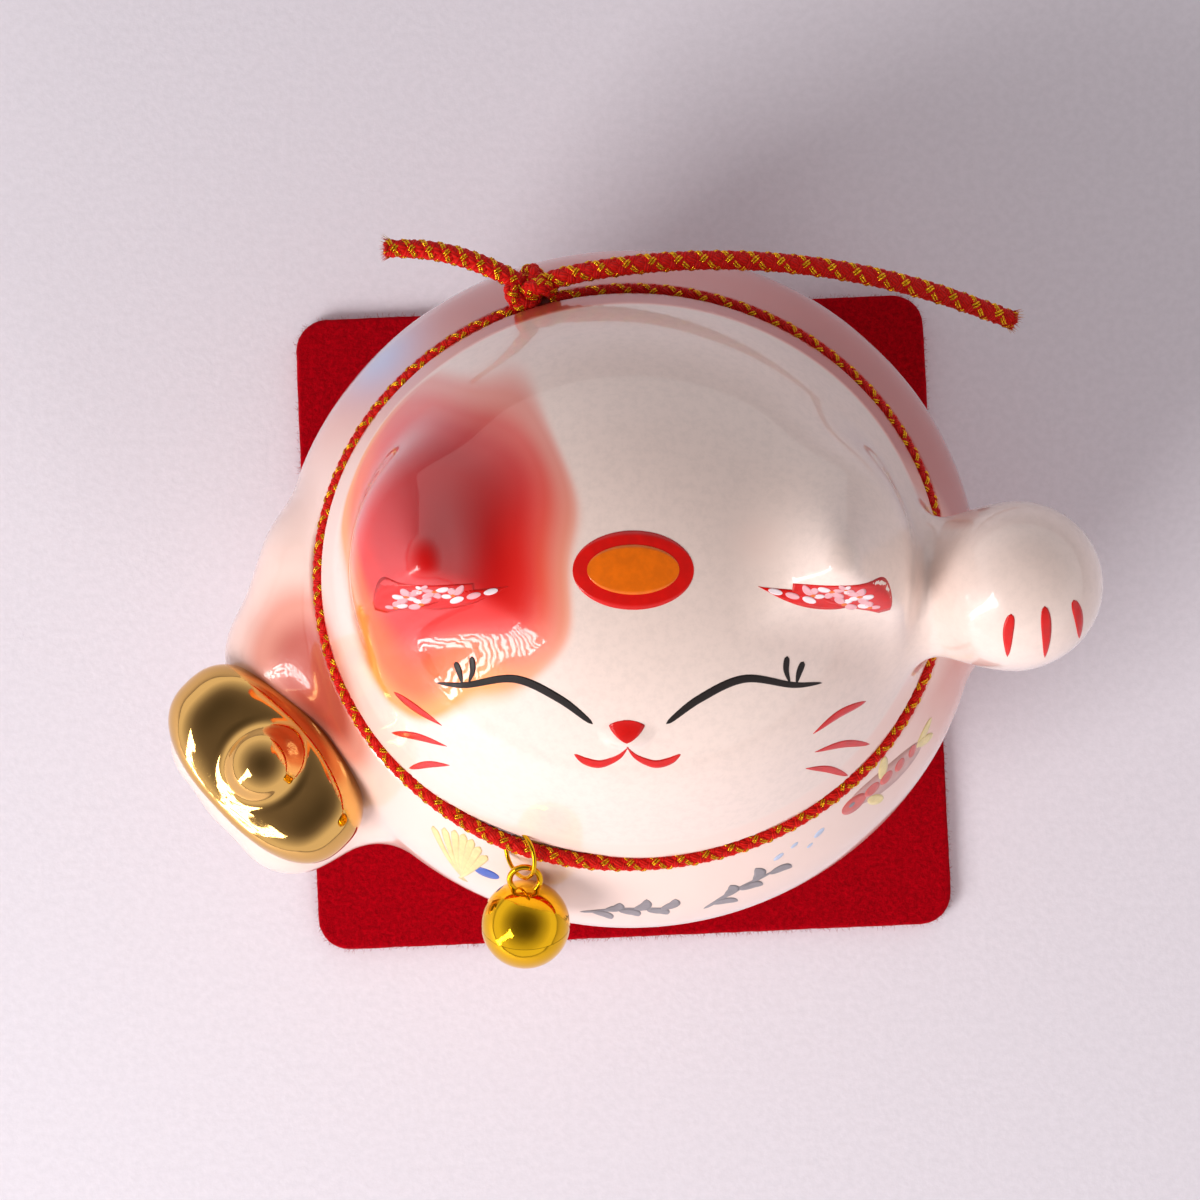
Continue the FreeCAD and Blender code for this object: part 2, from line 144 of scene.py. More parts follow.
# Neck cord, as in the part
CORD_D = 2.2
CORD_END_D = 2.6
CORD_GAP = 0.3
CORD_POINTS = 48
CORD_LATITUDE = (36.25, 2.0, 1.05, 1.2)
BELL_STANDOFF = 1.35
BELL_SPREAD = math.radians(26.0)
BELL_ANGLE = math.radians(21.5)
KNOT_ANGLE = math.radians(161.5)
KNOT_HALF_ANGLE = math.radians(3.0)
KNOT_DROP_DEG = 1.6
KNOT_OUT = 3.32
KNOT_CORD_D = 2.3
KNOT_PITCH = 5.2
KNOT_LOBE = 0.82
KNOT_RISE = 1.05
SHORT_END_PITCH = 4.4
# Strands of the braid as shares of its diameter: half thickness, half width, and half a gold thread;
# the swing in and out is a share of the half thickness
STRAND_THICK = 0.135
STRAND_WIDE = 0.24
THREAD_HALF = 0.06
STRAND_SWING = 0.62
FRAY_INSET = 0.15


def linear(red, green, blue):
    """A display colour of 0 to 255 parts as linear light."""
    share = np.array([red, green, blue]) / 255.0
    return tuple(float(v) for v in np.where(share <= 0.04045, share / 12.92, ((share + 0.055) / 1.055) ** 2.4))


def unit(v):
    """Vectors scaled to length 1."""
    return v / np.maximum(np.linalg.norm(v, axis=-1, keepdims=True), 1e-12)


# ---------------------------------------------------------------- field of the glazed skin

def ellipsoid(p, centre, radii):
    """Near distance to an ellipsoid: k0 (k0 - 1) / k1, k0 the scaled length and k1 its slope."""
    q = p - centre
    k0 = np.linalg.norm(q / radii, axis=-1)
    k1 = np.linalg.norm(q / (np.asarray(radii) ** 2), axis=-1)
    return k0 * (k0 - 1.0) / np.maximum(k1, 1e-6)


def round_cone(p, a, b, ra, rb):
    """Distance to two balls and the cone that touches both."""
    a, b = np.asarray(a, float), np.asarray(b, float)
    axis = b - a
    length = np.linalg.norm(axis)
    axis = axis / length
    q = p - a
    along = q @ axis
    away = np.linalg.norm(q - along[..., None] * axis, axis=-1)
    sine = (ra - rb) / length
    cosine = math.sqrt(1 - sine * sine)
    foot = along - away * sine / cosine
    side = (away * cosine + along * sine) - ra
    start = np.hypot(along, away) - ra
    end = np.hypot(along - length, away) - rb
    return np.where(foot < 0, start, np.where(foot > length, end, side))


def join(a, b, k):
    """Smooth union: the smaller of two fields, rounded over a width k where they meet."""
    h = np.clip(0.5 + 0.5 * (b - a) / k, 0.0, 1.0)
    return b * (1 - h) + a * h - k * h * (1 - h)


def trim(a, b, k):
    """Smooth intersection, the mirror of the smooth union."""
    return -join(-a, -b, k)


def head_top(x, y):
    """Height of the bare head above a place in plan."""
    return HEAD_C[2] + HEAD_R[2] * math.sqrt(1 - (x / HEAD_R[0]) ** 2 - ((y - HEAD_C[1]) / HEAD_R[1]) ** 2)


def ear_field(p, side):
    """A leaning round cone, longer front to back, with its front cut by a leaning plane."""
    top = head_top(EAR_C[0], EAR_C[1])
    height = EAR_SINK + EAR_RISE - EAR_R[1]
    q = (p - np.array([side * EAR_C[0], EAR_C[1], top - EAR_SINK])) / np.array([1, EAR_LENGTHWISE, 1])
    cone = round_cone(q, (0, 0, 0), (side * EAR_LEAN, 0, height), *EAR_R)
    front = (EAR_FRONT_Y - p[..., 1]) * math.cos(EAR_FRONT_TILT) + (p[..., 2] - top) * math.sin(EAR_FRONT_TILT)
    return trim(cone, front, 1.6)


def hand_middle():
    """Middle of the hand under the ingot, and the unit vector along it."""
    along = np.array([math.cos(INGOT_YAW), math.sin(INGOT_YAW), 0.0])
    out = np.array([along[1], -along[0], 0.0])
    return np.array([INGOT_C[0], INGOT_C[1], HAND_Z]) + out * HAND_OUT, along


def body_field(p):
    """Torso, head and ears."""
    half = np.where(p[..., 2] > TORSO_Z, TORSO_TOP_H, TORSO_BOTTOM_H)
    q = p - np.array([0, 0, TORSO_Z])
    scaled = [q[..., 0] / TORSO_R[0], q[..., 1] / TORSO_R[1], q[..., 2] / half]
    k0 = np.sqrt(scaled[0] ** 2 + scaled[1] ** 2 + scaled[2] ** 2)
    k1 = np.sqrt((scaled[0] / TORSO_R[0]) ** 2 + (scaled[1] / TORSO_R[1]) ** 2 + (scaled[2] / half) ** 2)
    torso = k0 * (k0 - 1.0) / np.maximum(k1, 1e-6)
    head = ellipsoid(p, HEAD_C, HEAD_R)
    for side in (-1, 1):
        head = join(head, ear_field(p, side), 5.0)
    head = join(head, ellipsoid(p, NOSE_C, NOSE_R), 1.2)
    return join(torso, head, 9.0)


def arms_field(p):
    """Raised arm with its web to the head, holding arm with its hand, and the tail."""
    middle, along = hand_middle()
    paw = np.linalg.norm(p - PAW_C, axis=-1) - PAW_R
    shoulder = (PAW_C[0] - 1.0, PAW_C[1], SHOULDER_Z)
    wrist = (PAW_C[0] + 0.4, PAW_C[1], PAW_C[2] - PAW_R / 2)
    upper = round_cone(p, shoulder, wrist, ARM_R + 1.2, ARM_R + 0.8)
    web_z = PAW_C[2] - WEB_DROP
    stretch = np.array([1, WEB_HALF[0] / WEB_HALF[1], 1])
    web = round_cone(p / stretch, np.array([29.0, PAW_C[1], web_z]) / stretch,
                     np.array([PAW_C[0], PAW_C[1], web_z]) / stretch, WEB_HALF[1], WEB_HALF[1])
    raised = join(join(paw, upper, 3.0), web, 6.0)
    (a, b, c), ra, rb, rc = [np.array(ball[:3]) for ball in HOLDING], *[ball[3] for ball in HOLDING]
    heel, rear = middle - along * HAND_REACH, middle + along * HAND_REACH
    holding = round_cone(p, a, b, ra, rb)
    for part in ((b, c, rb, rc), (c, middle, rc, HAND_R), (heel, rear, HAND_R - 0.4, HAND_R - 0.2),
                 (rear, HAND_HEEL[:3], HAND_R - 0.2, HAND_HEEL[3])):
        holding = join(holding, round_cone(p, *part), ARM_JOIN)
    radius, z, x, proud = TAIL
    depth = TORSO_R[1] * math.sqrt(1 - ((TORSO_Z - z) / TORSO_BOTTOM_H) ** 2) + proud - radius
    tail = round_cone(p, (-x, depth - 2.0, z - 3.0), (x, depth, z), radius, radius - 0.6)
    return raised, holding, tail


def torso_point(azimuth, latitude, out=0.0):
    """The torso's upper surface at an azimuth from the front and a latitude, and its normal."""
    azimuth, latitude = np.broadcast_arrays(azimuth, latitude)
    ring = np.cos(latitude)
    flat = np.stack([ring * np.sin(azimuth), -ring * np.cos(azimuth), np.sin(latitude)], -1)
    half = np.where(flat[..., 2] > 0, TORSO_TOP_H, TORSO_BOTTOM_H)
    radii = np.stack([np.full_like(half, TORSO_R[0]), np.full_like(half, TORSO_R[1]), half], -1)
    normal = flat / radii
    normal /= np.linalg.norm(normal, axis=-1, keepdims=True)
    return np.array([0, 0, TORSO_Z]) + flat * radii + normal * np.asarray(out)[..., None], normal


def bell_share(azimuth):
    """1 where the jump ring goes under the cord, falling smoothly to 0 on both sides."""
    away = np.abs(azimuth + BELL_ANGLE) / BELL_SPREAD
    return 0.5 + 0.5 * np.cos(math.pi * np.minimum(1.0, away))


def cord_latitude(azimuth):
    """Latitude of the neck crease: level + a cos 2 azimuth + b cos azimuth, more at the bell."""
    level, oval_share, tilt, bell_lift = CORD_LATITUDE
    degrees = level + oval_share * np.cos(2 * azimuth) + tilt * np.cos(azimuth)
    return np.radians(degrees + bell_lift * bell_share(azimuth))


def cord_point(azimuth):
    """Centreline of the neck cord."""
    out = CORD_D / 2 + CORD_GAP + BELL_STANDOFF * bell_share(azimuth)
    return torso_point(azimuth, cord_latitude(azimuth), out)[0]


def skin_field(p):
    """The whole glazed skin, with room for the neck cord under the raised arm."""
    raised, holding, tail = arms_field(p)
    skin = join(body_field(p), raised, 4.5)
    skin = join(skin, holding, 5.0)
    skin = join(skin, tail, 3.0)
    azimuth = np.arctan2(p[..., 0] / TORSO_R[0], -p[..., 1] / TORSO_R[1])
    cord = np.linalg.norm(p - cord_point(azimuth), axis=-1) - (CORD_D / 2 + 0.15)
    skin = trim(skin, -cord, 0.8)
    return trim(skin, FOOT_Z - p[..., 2], 1.5)


def gradient(field, p, step=0.05):
    """Slope of a field by central differences."""
    parts = [field(p + step * axis) - field(p - step * axis) for axis in np.eye(3)]
    return np.stack(parts, -1) / (2 * step)


def settle(field, p, rounds=3):
    """Moves points onto the field's zero level by Newton steps along its slope."""
    for _ in range(rounds):
        slope = gradient(field, p)
        p = p - slope * (field(p) / np.maximum((slope ** 2).sum(-1), 1e-9))[..., None]
    return p


def cast(field, p, direction, rounds=70):
    """Where rays first meet the zero level: each goes on by the field's value, which is a distance."""
    p = np.array(p, float)
    direction = np.broadcast_to(direction, p.shape)
    for _ in range(rounds):
        p = p + direction * (0.85 * field(p))[..., None]
    if np.abs(field(p)).max() > 0.3:
        raise ValueError("a ray missed the surface that it was sent to")
    return p, unit(gradient(field, p))


def level_surface(field, low, high, step):
    """Zero level of a field on a 3-D grid: one point in each cell that the level passes through,
    the mean of its crossings of the cell's edges, and one quad for each grid edge that crosses."""
    counts = [int(math.ceil((h - l) / step)) + 1 for l, h in zip(low, high)]
    axes = [l + step * np.arange(n) for l, n in zip(low, counts)]
    values = np.empty(counts, np.float32)
    plane = np.stack(np.meshgrid(axes[1], axes[2], indexing="ij"), -1)
    for start in range(0, counts[0], 16):
        xs = axes[0][start:start + 16]
        block = np.empty((len(xs),) + plane.shape[:2] + (3,), np.float32)
        block[..., 0] = xs[:, None, None]
        block[..., 1:] = plane
        values[start:start + 16] = field(block)
    inside = values < 0
    cells = np.zeros([n - 1 for n in counts], np.int8)
    corners = np.array([(i, j, k) for i in (0, 1) for j in (0, 1) for k in (0, 1)])
    for i, j, k in corners:
        cells += inside[i:i + cells.shape[0], j:j + cells.shape[1], k:k + cells.shape[2]]
    place = np.argwhere((cells > 0) & (cells < 8))
    number = np.full(cells.shape, -1, np.int64)
    number[tuple(place.T)] = np.arange(len(place))
    total = np.zeros((len(place), 3))
    crossings = np.zeros(len(place))
    for a in corners:
        for axis in range(3):
            if a[axis]:
                continue
            b = a.copy()
            b[axis] = 1
            fa, fb = values[tuple((place + a).T)], values[tuple((place + b).T)]
            cross = (fa < 0) != (fb < 0)
            share = np.where(cross, fa / np.where(cross, fa - fb, 1), 0)
            total += np.where(cross[:, None], place + a + share[:, None] * (b - a), 0)
            crossings += cross
    points = total / crossings[:, None] * step + np.asarray(low)
    quads = []
    for d in range(3):
        u, v = (d + 1) % 3, (d + 2) % 3
        one = np.eye(3, dtype=int)
        first = np.moveaxis(inside, (d, u, v), (0, 1, 2))
        change = first[:-1, 1:-1, 1:-1] != first[1:, 1:-1, 1:-1]
        found = np.argwhere(change) + np.array([0, 1, 1])
        grid = np.empty_like(found)
        grid[:, d], grid[:, u], grid[:, v] = found[:, 0], found[:, 1], found[:, 2]
        ring = [grid - one[u] - one[v], grid - one[v], grid, grid - one[u]]
        quad = np.stack([number[tuple(c.T)] for c in ring], -1)
        outward = inside[tuple(grid.T)]
        quads.append(np.where(outward[:, None], quad, quad[:, ::-1]))
    return points, np.concatenate(quads)


# ---------------------------------------------------------------- meshes

def piece(name, points, faces, material, body=None, normals=None):
    """Makes a mesh object from points in millimetres, which rides on a body of the part."""
    mesh = bpy.data.meshes.new(name)
    faces = faces.tolist() if isinstance(faces, np.ndarray) else faces
    mesh.from_pydata((np.asarray(points, float).reshape(-1, 3) * MM).tolist(), [], faces)
    mesh.polygons.foreach_set("use_smooth", np.ones(len(mesh.polygons), bool))
    mesh.update()
    if normals is not None:
        mesh.normals_split_custom_set_from_vertices(np.asarray(normals, float).reshape(-1, 3).tolist())
    obj = bpy.data.objects.new(name, mesh)
    bpy.context.scene.collection.objects.link(obj)
    obj.data.materials.append(material)
    if body:
        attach(obj, body)
    return obj


def add_uv(obj, uv):
    """A UV map from one value pair for each point."""
    layer = obj.data.uv_layers.new(name="UVMap")
    index = np.empty(len(obj.data.loops), np.int32)
    obj.data.loops.foreach_get("vertex_index", index)
    layer.data.foreach_set("uv", np.asarray(uv, np.float32).reshape(-1, 2)[index].ravel())


def grid_quads(rows, columns, wrap_columns=False):
    """Quads of a grid of points, whose columns may close on themselves."""
    i = np.arange(rows - 1)[:, None]
    j = np.arange(columns if wrap_columns else columns - 1)[None, :]
    i2, j2 = i + 1, (j + 1) % columns
    ids = [i * columns + j, i * columns + j2, i2 * columns + j2, i2 * columns + j]
    return np.stack(np.broadcast_arrays(*ids), -1).reshape(-1, 4)


def closed_grid(rows, columns):
    """Faces of a grid whose columns close on themselves and whose first and last rows are filled in."""
    faces = grid_quads(rows, columns, wrap_columns=True)[:, ::-1].tolist()
    last = (rows - 1) * columns
    return faces + [list(range(columns)), list(range(last, last + columns))[::-1]]


def slab(top, bottom):
    """A closed thin slab between two grids of points of the same size."""
    rows, columns = top.shape[:2]
    size = rows * columns
    upper = grid_quads(rows, columns)
    ids = np.arange(size).reshape(rows, columns)
    rim = np.concatenate([ids[0, :-1], ids[:-1, -1], ids[-1, :0:-1], ids[:0:-1, 0]])
    after = np.roll(rim, -1)
    wall = np.stack([rim, rim + size, after + size, after], -1)
    faces = np.concatenate([upper, upper[:, ::-1] + size, wall])
    return np.concatenate([top.reshape(-1, 3), bottom.reshape(-1, 3)]), faces


def merge(parts):
    """Several pairs of points and face lists as one."""
    points, faces, start = [], [], 0
    for p, f in parts:
        p = np.asarray(p).reshape(-1, 3)
        points.append(p)
        faces.extend([[i + start for i in face] for face in f])
        start += len(p)
    return np.concatenate(points), faces


# ---------------------------------------------------------------- materials

def principled(name, colour, roughness, **sockets):
    """A new material with its shader's plain values set on its own sockets."""
    material = bpy.data.materials.new(name)
    material.use_nodes = True
    nodes = material.node_tree.nodes
    shader = nodes["Principled BSDF"]
    shader.inputs["Base Color"].default_value = (*colour, 1)
    shader.inputs["Roughness"].default_value = roughness
    for key, value in sockets.items():
        shader.inputs[key.replace("_", " ")].default_value = value
    return material, nodes, material.node_tree.links, shader


def node(nodes, kind, **values):
    """A node with properties set, and inputs where a key starts with in_."""
    new = nodes.new(kind)
    for key, value in values.items():
        if key.startswith("in_"):
            new.inputs[key[3:].replace("_", " ")].default_value = value
        else:
            setattr(new, key, value)
    return new


def noise(nodes, links, source, scale, detail=3.0, roughness=0.5):
    """Noise on a coordinate."""
    new = node(nodes, "ShaderNodeTexNoise", in_Scale=scale, in_Detail=detail, in_Roughness=roughness)
    links.new(source, new.inputs["Vector"])
    return new.outputs["Fac"]


def ramp(nodes, links, source, stops, ease="EASE"):
    """Colours along a value."""
    new = nodes.new("ShaderNodeValToRGB")
    new.color_ramp.interpolation = ease
    elements = new.color_ramp.elements
    while len(elements) < len(stops):
        elements.new(0.5)
    for element, (position, colour) in zip(elements, stops):
        element.position = position
        element.color = (*colour, 1)
    links.new(source, new.inputs["Fac"])
    return new.outputs["Color"]


def mix(nodes, links, factor, a, b, blend="MIX"):
    """Two colours mixed by a factor; each may be a socket or a constant."""
    new = node(nodes, "ShaderNodeMix", data_type="RGBA", blend_type=blend)
    for key, value in ((0, factor), (6, a), (7, b)):
        if isinstance(value, bpy.types.NodeSocket):
            links.new(value, new.inputs[key])
        elif key == 0:
            new.inputs[key].default_value = value
        else:
            new.inputs[key].default_value = (*value, 1)
    return new.outputs[2]


def bump(nodes, links, shader, heights, strength, distance):
    """Bump from a height, added to the shader's normal."""
    new = node(nodes, "ShaderNodeBump", in_Strength=strength, in_Distance=distance)
    links.new(heights, new.inputs["Height"])
    links.new(new.outputs["Normal"], shader.inputs["Normal"])


def own_place(nodes):
    """Place on the piece, in its object's coordinates."""
    return nodes.new("ShaderNodeTexCoord").outputs["Object"]


def shade(colour, factor):
    """A colour made lighter or darker."""
    return tuple(min(1.0, c * factor) for c in colour)


def glaze_material(colours):
    """Cream ware under a clear glaze, airbrushed by the skin's own attributes; the blush also paints shade."""
    material, nodes, links, shader = principled(
        "clear_glaze", colours.cream, 0.3, Coat_Weight=1.0, Coat_Roughness=0.035, Coat_IOR=1.5,
        Specular_IOR_Level=0.5)
    place = own_place(nodes)
    patch, warmth, blush_and_shade, frost = [
        node(nodes, "ShaderNodeAttribute", attribute_name=name).outputs["Fac"] for name in SPRAYS]
    grain = noise(nodes, links, place, 900.0, 4.0, 0.7)
    cloud = noise(nodes, links, place, 60.0, 3.0)
    cream = mix(nodes, links, cloud, colours.cream, shade(colours.cream, 0.985))
    speckle = ramp(nodes, links, grain, [(0.3, (0.93, 0.93, 0.93)), (0.62, (1, 1, 1))])
    cream = mix(nodes, links, 1.0, cream, speckle, "MULTIPLY")
    # Blush runs from pale pink to a deep brownish red; the deep end is painted shade on the back and in the
    # recess by the holding arm
    rosy_and_shaded = ramp(nodes, links, blush_and_shade, [(0.0, colours.cream), (0.3, linear(244, 206, 192)),
                                      (0.65, linear(226, 146, 126)), (1.0, linear(188, 80, 62))])
    blush_and_shade_in = ramp(nodes, links, blush_and_shade, [(0.0, (0, 0, 0)), (0.12, (1, 1, 1))])
    ground = mix(nodes, links, blush_and_shade_in, cream, rosy_and_shaded)
    hot = ramp(nodes, links, patch, [(0.0, linear(246, 214, 194)), (0.16, linear(255, 150, 66)),
                                     (0.38, linear(255, 92, 0)), (0.66, linear(236, 18, 0)),
                                     (1.0, linear(212, 2, 0))])
    cool = ramp(nodes, links, patch, [(0.0, linear(240, 208, 196)), (0.25, linear(228, 140, 124)),
                                      (0.55, linear(222, 78, 66)), (0.8, linear(214, 34, 28)),
                                      (1.0, linear(202, 8, 6))])
    spray = mix(nodes, links, warmth, cool, hot)
    spray_in = ramp(nodes, links, patch, [(0.0, (0, 0, 0)), (0.16, (1, 1, 1))])
    ground = mix(nodes, links, frost, ground, linear(168, 186, 226))
    links.new(mix(nodes, links, spray_in, ground, spray), shader.inputs["Base Color"])
    swell = noise(nodes, links, place, 38.0, 1.0)
    bump(nodes, links, shader, swell, 0.12, 0.0012)
    return material


def enamel(name, colour, gloss=0.34, coat=0.45):
    """Overglaze paint: slightly uneven, with the glaze's own coat over it."""
    material, nodes, links, shader = principled(
        name, colour, gloss, Coat_Weight=coat, Coat_Roughness=0.08, Specular_IOR_Level=0.3)
    place = own_place(nodes)
    worn = noise(nodes, links, place, 700.0, 4.0, 0.6)
    tone = ramp(nodes, links, worn, [(0.3, shade(colour, 0.9)), (0.7, shade(colour, 1.06))])
    links.new(tone, shader.inputs["Base Color"])
    bump(nodes, links, shader, worn, 0.15, 0.0001)
    return material


def metal(name, colour, roughness, dent=0.1, scale=120.0):
    """Bright metal with a slightly wavy, finely worn surface."""
    material, nodes, links, shader = principled(name, colour, roughness, Metallic=1.0)
    place = own_place(nodes)
    wave = noise(nodes, links, place, scale, 2.0)
    fine = noise(nodes, links, place, 2600.0, 3.0)
    links.new(ramp(nodes, links, fine, [(0.35, (roughness * 0.7,) * 3), (0.75, (roughness * 1.8,) * 3)]),
              shader.inputs["Roughness"])
    tone = mix(nodes, links, wave, colour, shade(colour, 0.86))
    links.new(tone, shader.inputs["Base Color"])
    bump(nodes, links, shader, wave, dent, 0.0006)
    return material


def yarn_material(colour):
    """Silky twisted yarn: fine slanting filaments along the strand's own UV map."""
    material, nodes, links, shader = principled(
        "red_yarn", colour, 0.6, Sheen_Weight=0.15, Sheen_Roughness=0.4, Specular_IOR_Level=0.2)
    shader.inputs["Sheen Tint"].default_value = (1.0, 0.3, 0.2, 1)
    uv = nodes.new("ShaderNodeTexCoord").outputs["UV"]
    place = own_place(nodes)
    lines = node(nodes, "ShaderNodeTexWave", wave_type="BANDS", bands_direction="DIAGONAL",
                 in_Scale=2.6, in_Distortion=1.5, in_Detail=2.0)
    links.new(uv, lines.inputs["Vector"])
    cloud = noise(nodes, links, place, 500.0, 3.0)
    tone = ramp(nodes, links, lines.outputs["Fac"],
                [(0.0, shade(colour, 0.62)), (1.0, shade(colour, 1.25))])
    tone = mix(nodes, links, cloud, tone, shade(colour, 1.1))
    links.new(tone, shader.inputs["Base Color"])
    bump(nodes, links, shader, lines.outputs["Fac"], 0.6, 0.00012)
    return material


def felt_material(colour):
    """Pressed wool: matted fibres, a soft sheen and cloudy colour."""
    material, nodes, links, shader = principled(
        "red_felt", colour, 0.95, Sheen_Weight=0.12, Sheen_Roughness=0.6, Specular_IOR_Level=0.03)
    shader.inputs["Sheen Tint"].default_value = (1.0, 0.1, 0.15, 1)
    place = own_place(nodes)
    mat = noise(nodes, links, place, 1500.0, 6.0, 0.75)
    cloud = noise(nodes, links, place, 90.0, 3.0)
    tone = ramp(nodes, links, mat, [(0.3, shade(colour, 0.5)), (0.7, shade(colour, 1.3))])
    tone = mix(nodes, links, cloud, tone, mix(nodes, links, 0.5, tone, colour))
    links.new(tone, shader.inputs["Base Color"])
    bump(nodes, links, shader, mat, 0.9, 0.0004)
    return material


# ---------------------------------------------------------------- painted marks

def stroke(name, line, widths, aim, material, across, lift):
    """A brush stroke as a thin closed slab on the skin: a line with a width, cast onto it along aim."""
    side = unit(np.cross(np.gradient(line, axis=0), aim))
    v = np.linspace(-1, 1, across)
    points = line[:, None] + side[:, None] * (np.asarray(widths)[:, None] / 2 * v)[..., None]
    hit, normal = cast(skin_field, points, aim if aim.ndim == 1 else aim[:, None])
    return name, slab((hit + normal * lift)[:, ::-1], (hit - normal * PAINT_SUNK)[:, ::-1]), material


def painted(name, plan, widths, material, across=5, lift=PAINT_PROUD, aim=None):
    """A stroke from (x, y) in plan that drops onto the skin, or from start points that go along aim."""
    line = np.asarray(plan, float)
    if aim is None:
        line = np.column_stack([line, np.full(len(line), PAINT_DROP_Z)])
        aim = -UP
    return stroke(name, line, widths, aim, material, across, lift)


def oval(centre, half_length, half_width, angle_deg, count=25):
    """Plan line and widths of an ellipse, its samples closer at the ends."""
    a = np.linspace(0, math.pi, count)
    turn = math.radians(angle_deg)
    along = -np.cos(a)[:, None] * half_length * np.array([math.cos(turn), math.sin(turn)])
    return np.asarray(centre) + along, np.maximum(2 * half_width * np.sin(a), 0.02)


def wrap_mark(name, azimuths, latitudes, widths, material, lift=PAINT_PROUD):
    """A stroke on the torso, given by azimuths and latitudes in degrees."""
    line, normal = torso_point(np.radians(azimuths), np.radians(latitudes), np.full(len(azimuths), 7.0))
    return stroke(name, line, widths, -normal, material, 5, lift)


def wrap_oval(name, azimuth, latitude, half_length, half_width, tilt, material, lift=PAINT_PROUD, count=15):
    """An ellipse on the torso; its sizes are in millimetres and its tilt in degrees."""
    a = np.linspace(0, math.pi, count)
    turn = math.radians(tilt)
    r = 44.0 * math.cos(math.radians(latitude))
    az = azimuth + np.degrees(-np.cos(a) * half_length * math.cos(turn) / r)
    lat = latitude + np.degrees(-np.cos(a) * half_length * math.sin(turn) / 38.0)
    return wrap_mark(name, az, lat, np.maximum(2 * half_width * np.sin(a), 0.02), material, lift=lift)


# ---------------------------------------------------------------- cords

def smooth_route(points, steps):
    """Points along the smooth NURBS line that has the route's points as its control points."""
    curve = bpy.data.curves.new("route", "CURVE")
    curve.dimensions = "3D"
    spline = curve.splines.new("NURBS")
    spline.points.add(len(points) - 1)
    spline.points.foreach_set("co", np.column_stack([np.asarray(points) * MM, np.ones(len(points))]).ravel())
    spline.order_u = 3
    spline.use_endpoint_u = True
    spline.resolution_u = steps
    holder = bpy.data.objects.new("route", curve)
    mesh = bpy.data.meshes.new_from_object(holder)
    co = np.empty(len(mesh.vertices) * 3, np.float32)
    mesh.vertices.foreach_get("co", co)
    bpy.data.objects.remove(holder)
    bpy.data.curves.remove(curve)
    bpy.data.meshes.remove(mesh)
    return co.reshape(-1, 3).astype(float) / MM


def arc_length(line):
    """Distance of each point along a line."""
    return np.concatenate([[0], np.cumsum(np.linalg.norm(np.diff(line, axis=0), axis=1))])


def tubes(centres, outward, half_wide, half_thick, sides):
    """Closed tubes of elliptic section, one along each row of centres, flat side outwards."""
    tangent = unit(np.gradient(centres, axis=1))
    thick = unit(outward - tangent * (outward * tangent).sum(-1, keepdims=True))
    wide = np.cross(tangent, thick)
    a = np.linspace(0, 2 * math.pi, sides, endpoint=False)
    ring = (np.cos(a)[:, None] * wide[..., None, :] * np.asarray(half_wide)[..., None, None]
            + np.sin(a)[:, None] * thick[..., None, :] * np.asarray(half_thick)[..., None, None])
    points = centres[..., None, :] + ring
    rows, count = centres.shape[:2]
    one = grid_quads(count, sides, wrap_columns=True)
    size = count * sides
    faces = np.concatenate([one + k * size for k in range(rows)]).tolist()
    for k in range(rows):
        faces.append([k * size + i for i in range(sides)][::-1])
        faces.append([(k + 1) * size - sides + i for i in range(sides)])
    return points, faces


def braid(line, diameter, pitch, up=UP):
    """Eight strands, four each way round, that pass over and under one another in turn.

    Each strand's angle grows evenly along the route, and its distance from the middle swings
    with a cosine of four times that angle, out for one way round where it is in for the other.
    """
    at = arc_length(line)
    tangent = unit(np.gradient(line, axis=0))
    side = unit(np.cross(tangent, up))
    top = np.cross(side, tangent)
    way = np.repeat([1.0, -1.0], 4)[:, None]
    turn = way * (2 * math.pi * at / pitch)[None] + np.tile(np.arange(4) * math.pi / 2, 2)[:, None]
    swing = way * np.cos(8 * math.pi * at / pitch)[None]
    thick = diameter * STRAND_THICK
    radius = diameter / 2 - thick - 0.02 + (swing - 1) * thick * STRAND_SWING
    outward = np.cos(turn)[..., None] * side + np.sin(turn)[..., None] * top
    centres = line + radius[..., None] * outward
    wide = diameter * STRAND_WIDE * (1 + 0.12 * swing)
    red, red_faces = tubes(centres, outward, wide, np.full_like(wide, thick), 8)
    u = np.broadcast_to(at[None, :, None] * 1.2, red.shape[:3])
    v = np.broadcast_to(np.arange(8) / 8.0, red.shape[:3])
    centre, out = centres[::2], outward[::2]
    across = np.cross(unit(np.gradient(centre, axis=1)), out)
    gold_parts = []
    for shift in (-0.45, 0.1):
        lift = thick * (0.99 - 0.42 * shift ** 2)
        rows = centre + out * lift + across * (shift * diameter * STRAND_WIDE)
        thin = np.full(rows.shape[:2], diameter * THREAD_HALF)
        gold_parts.append(tubes(rows, out, thin, thin * 0.55, 4))
    gold, gold_faces = merge(gold_parts)
    return (red, red_faces, np.stack([u, v], -1)), (gold, gold_faces)


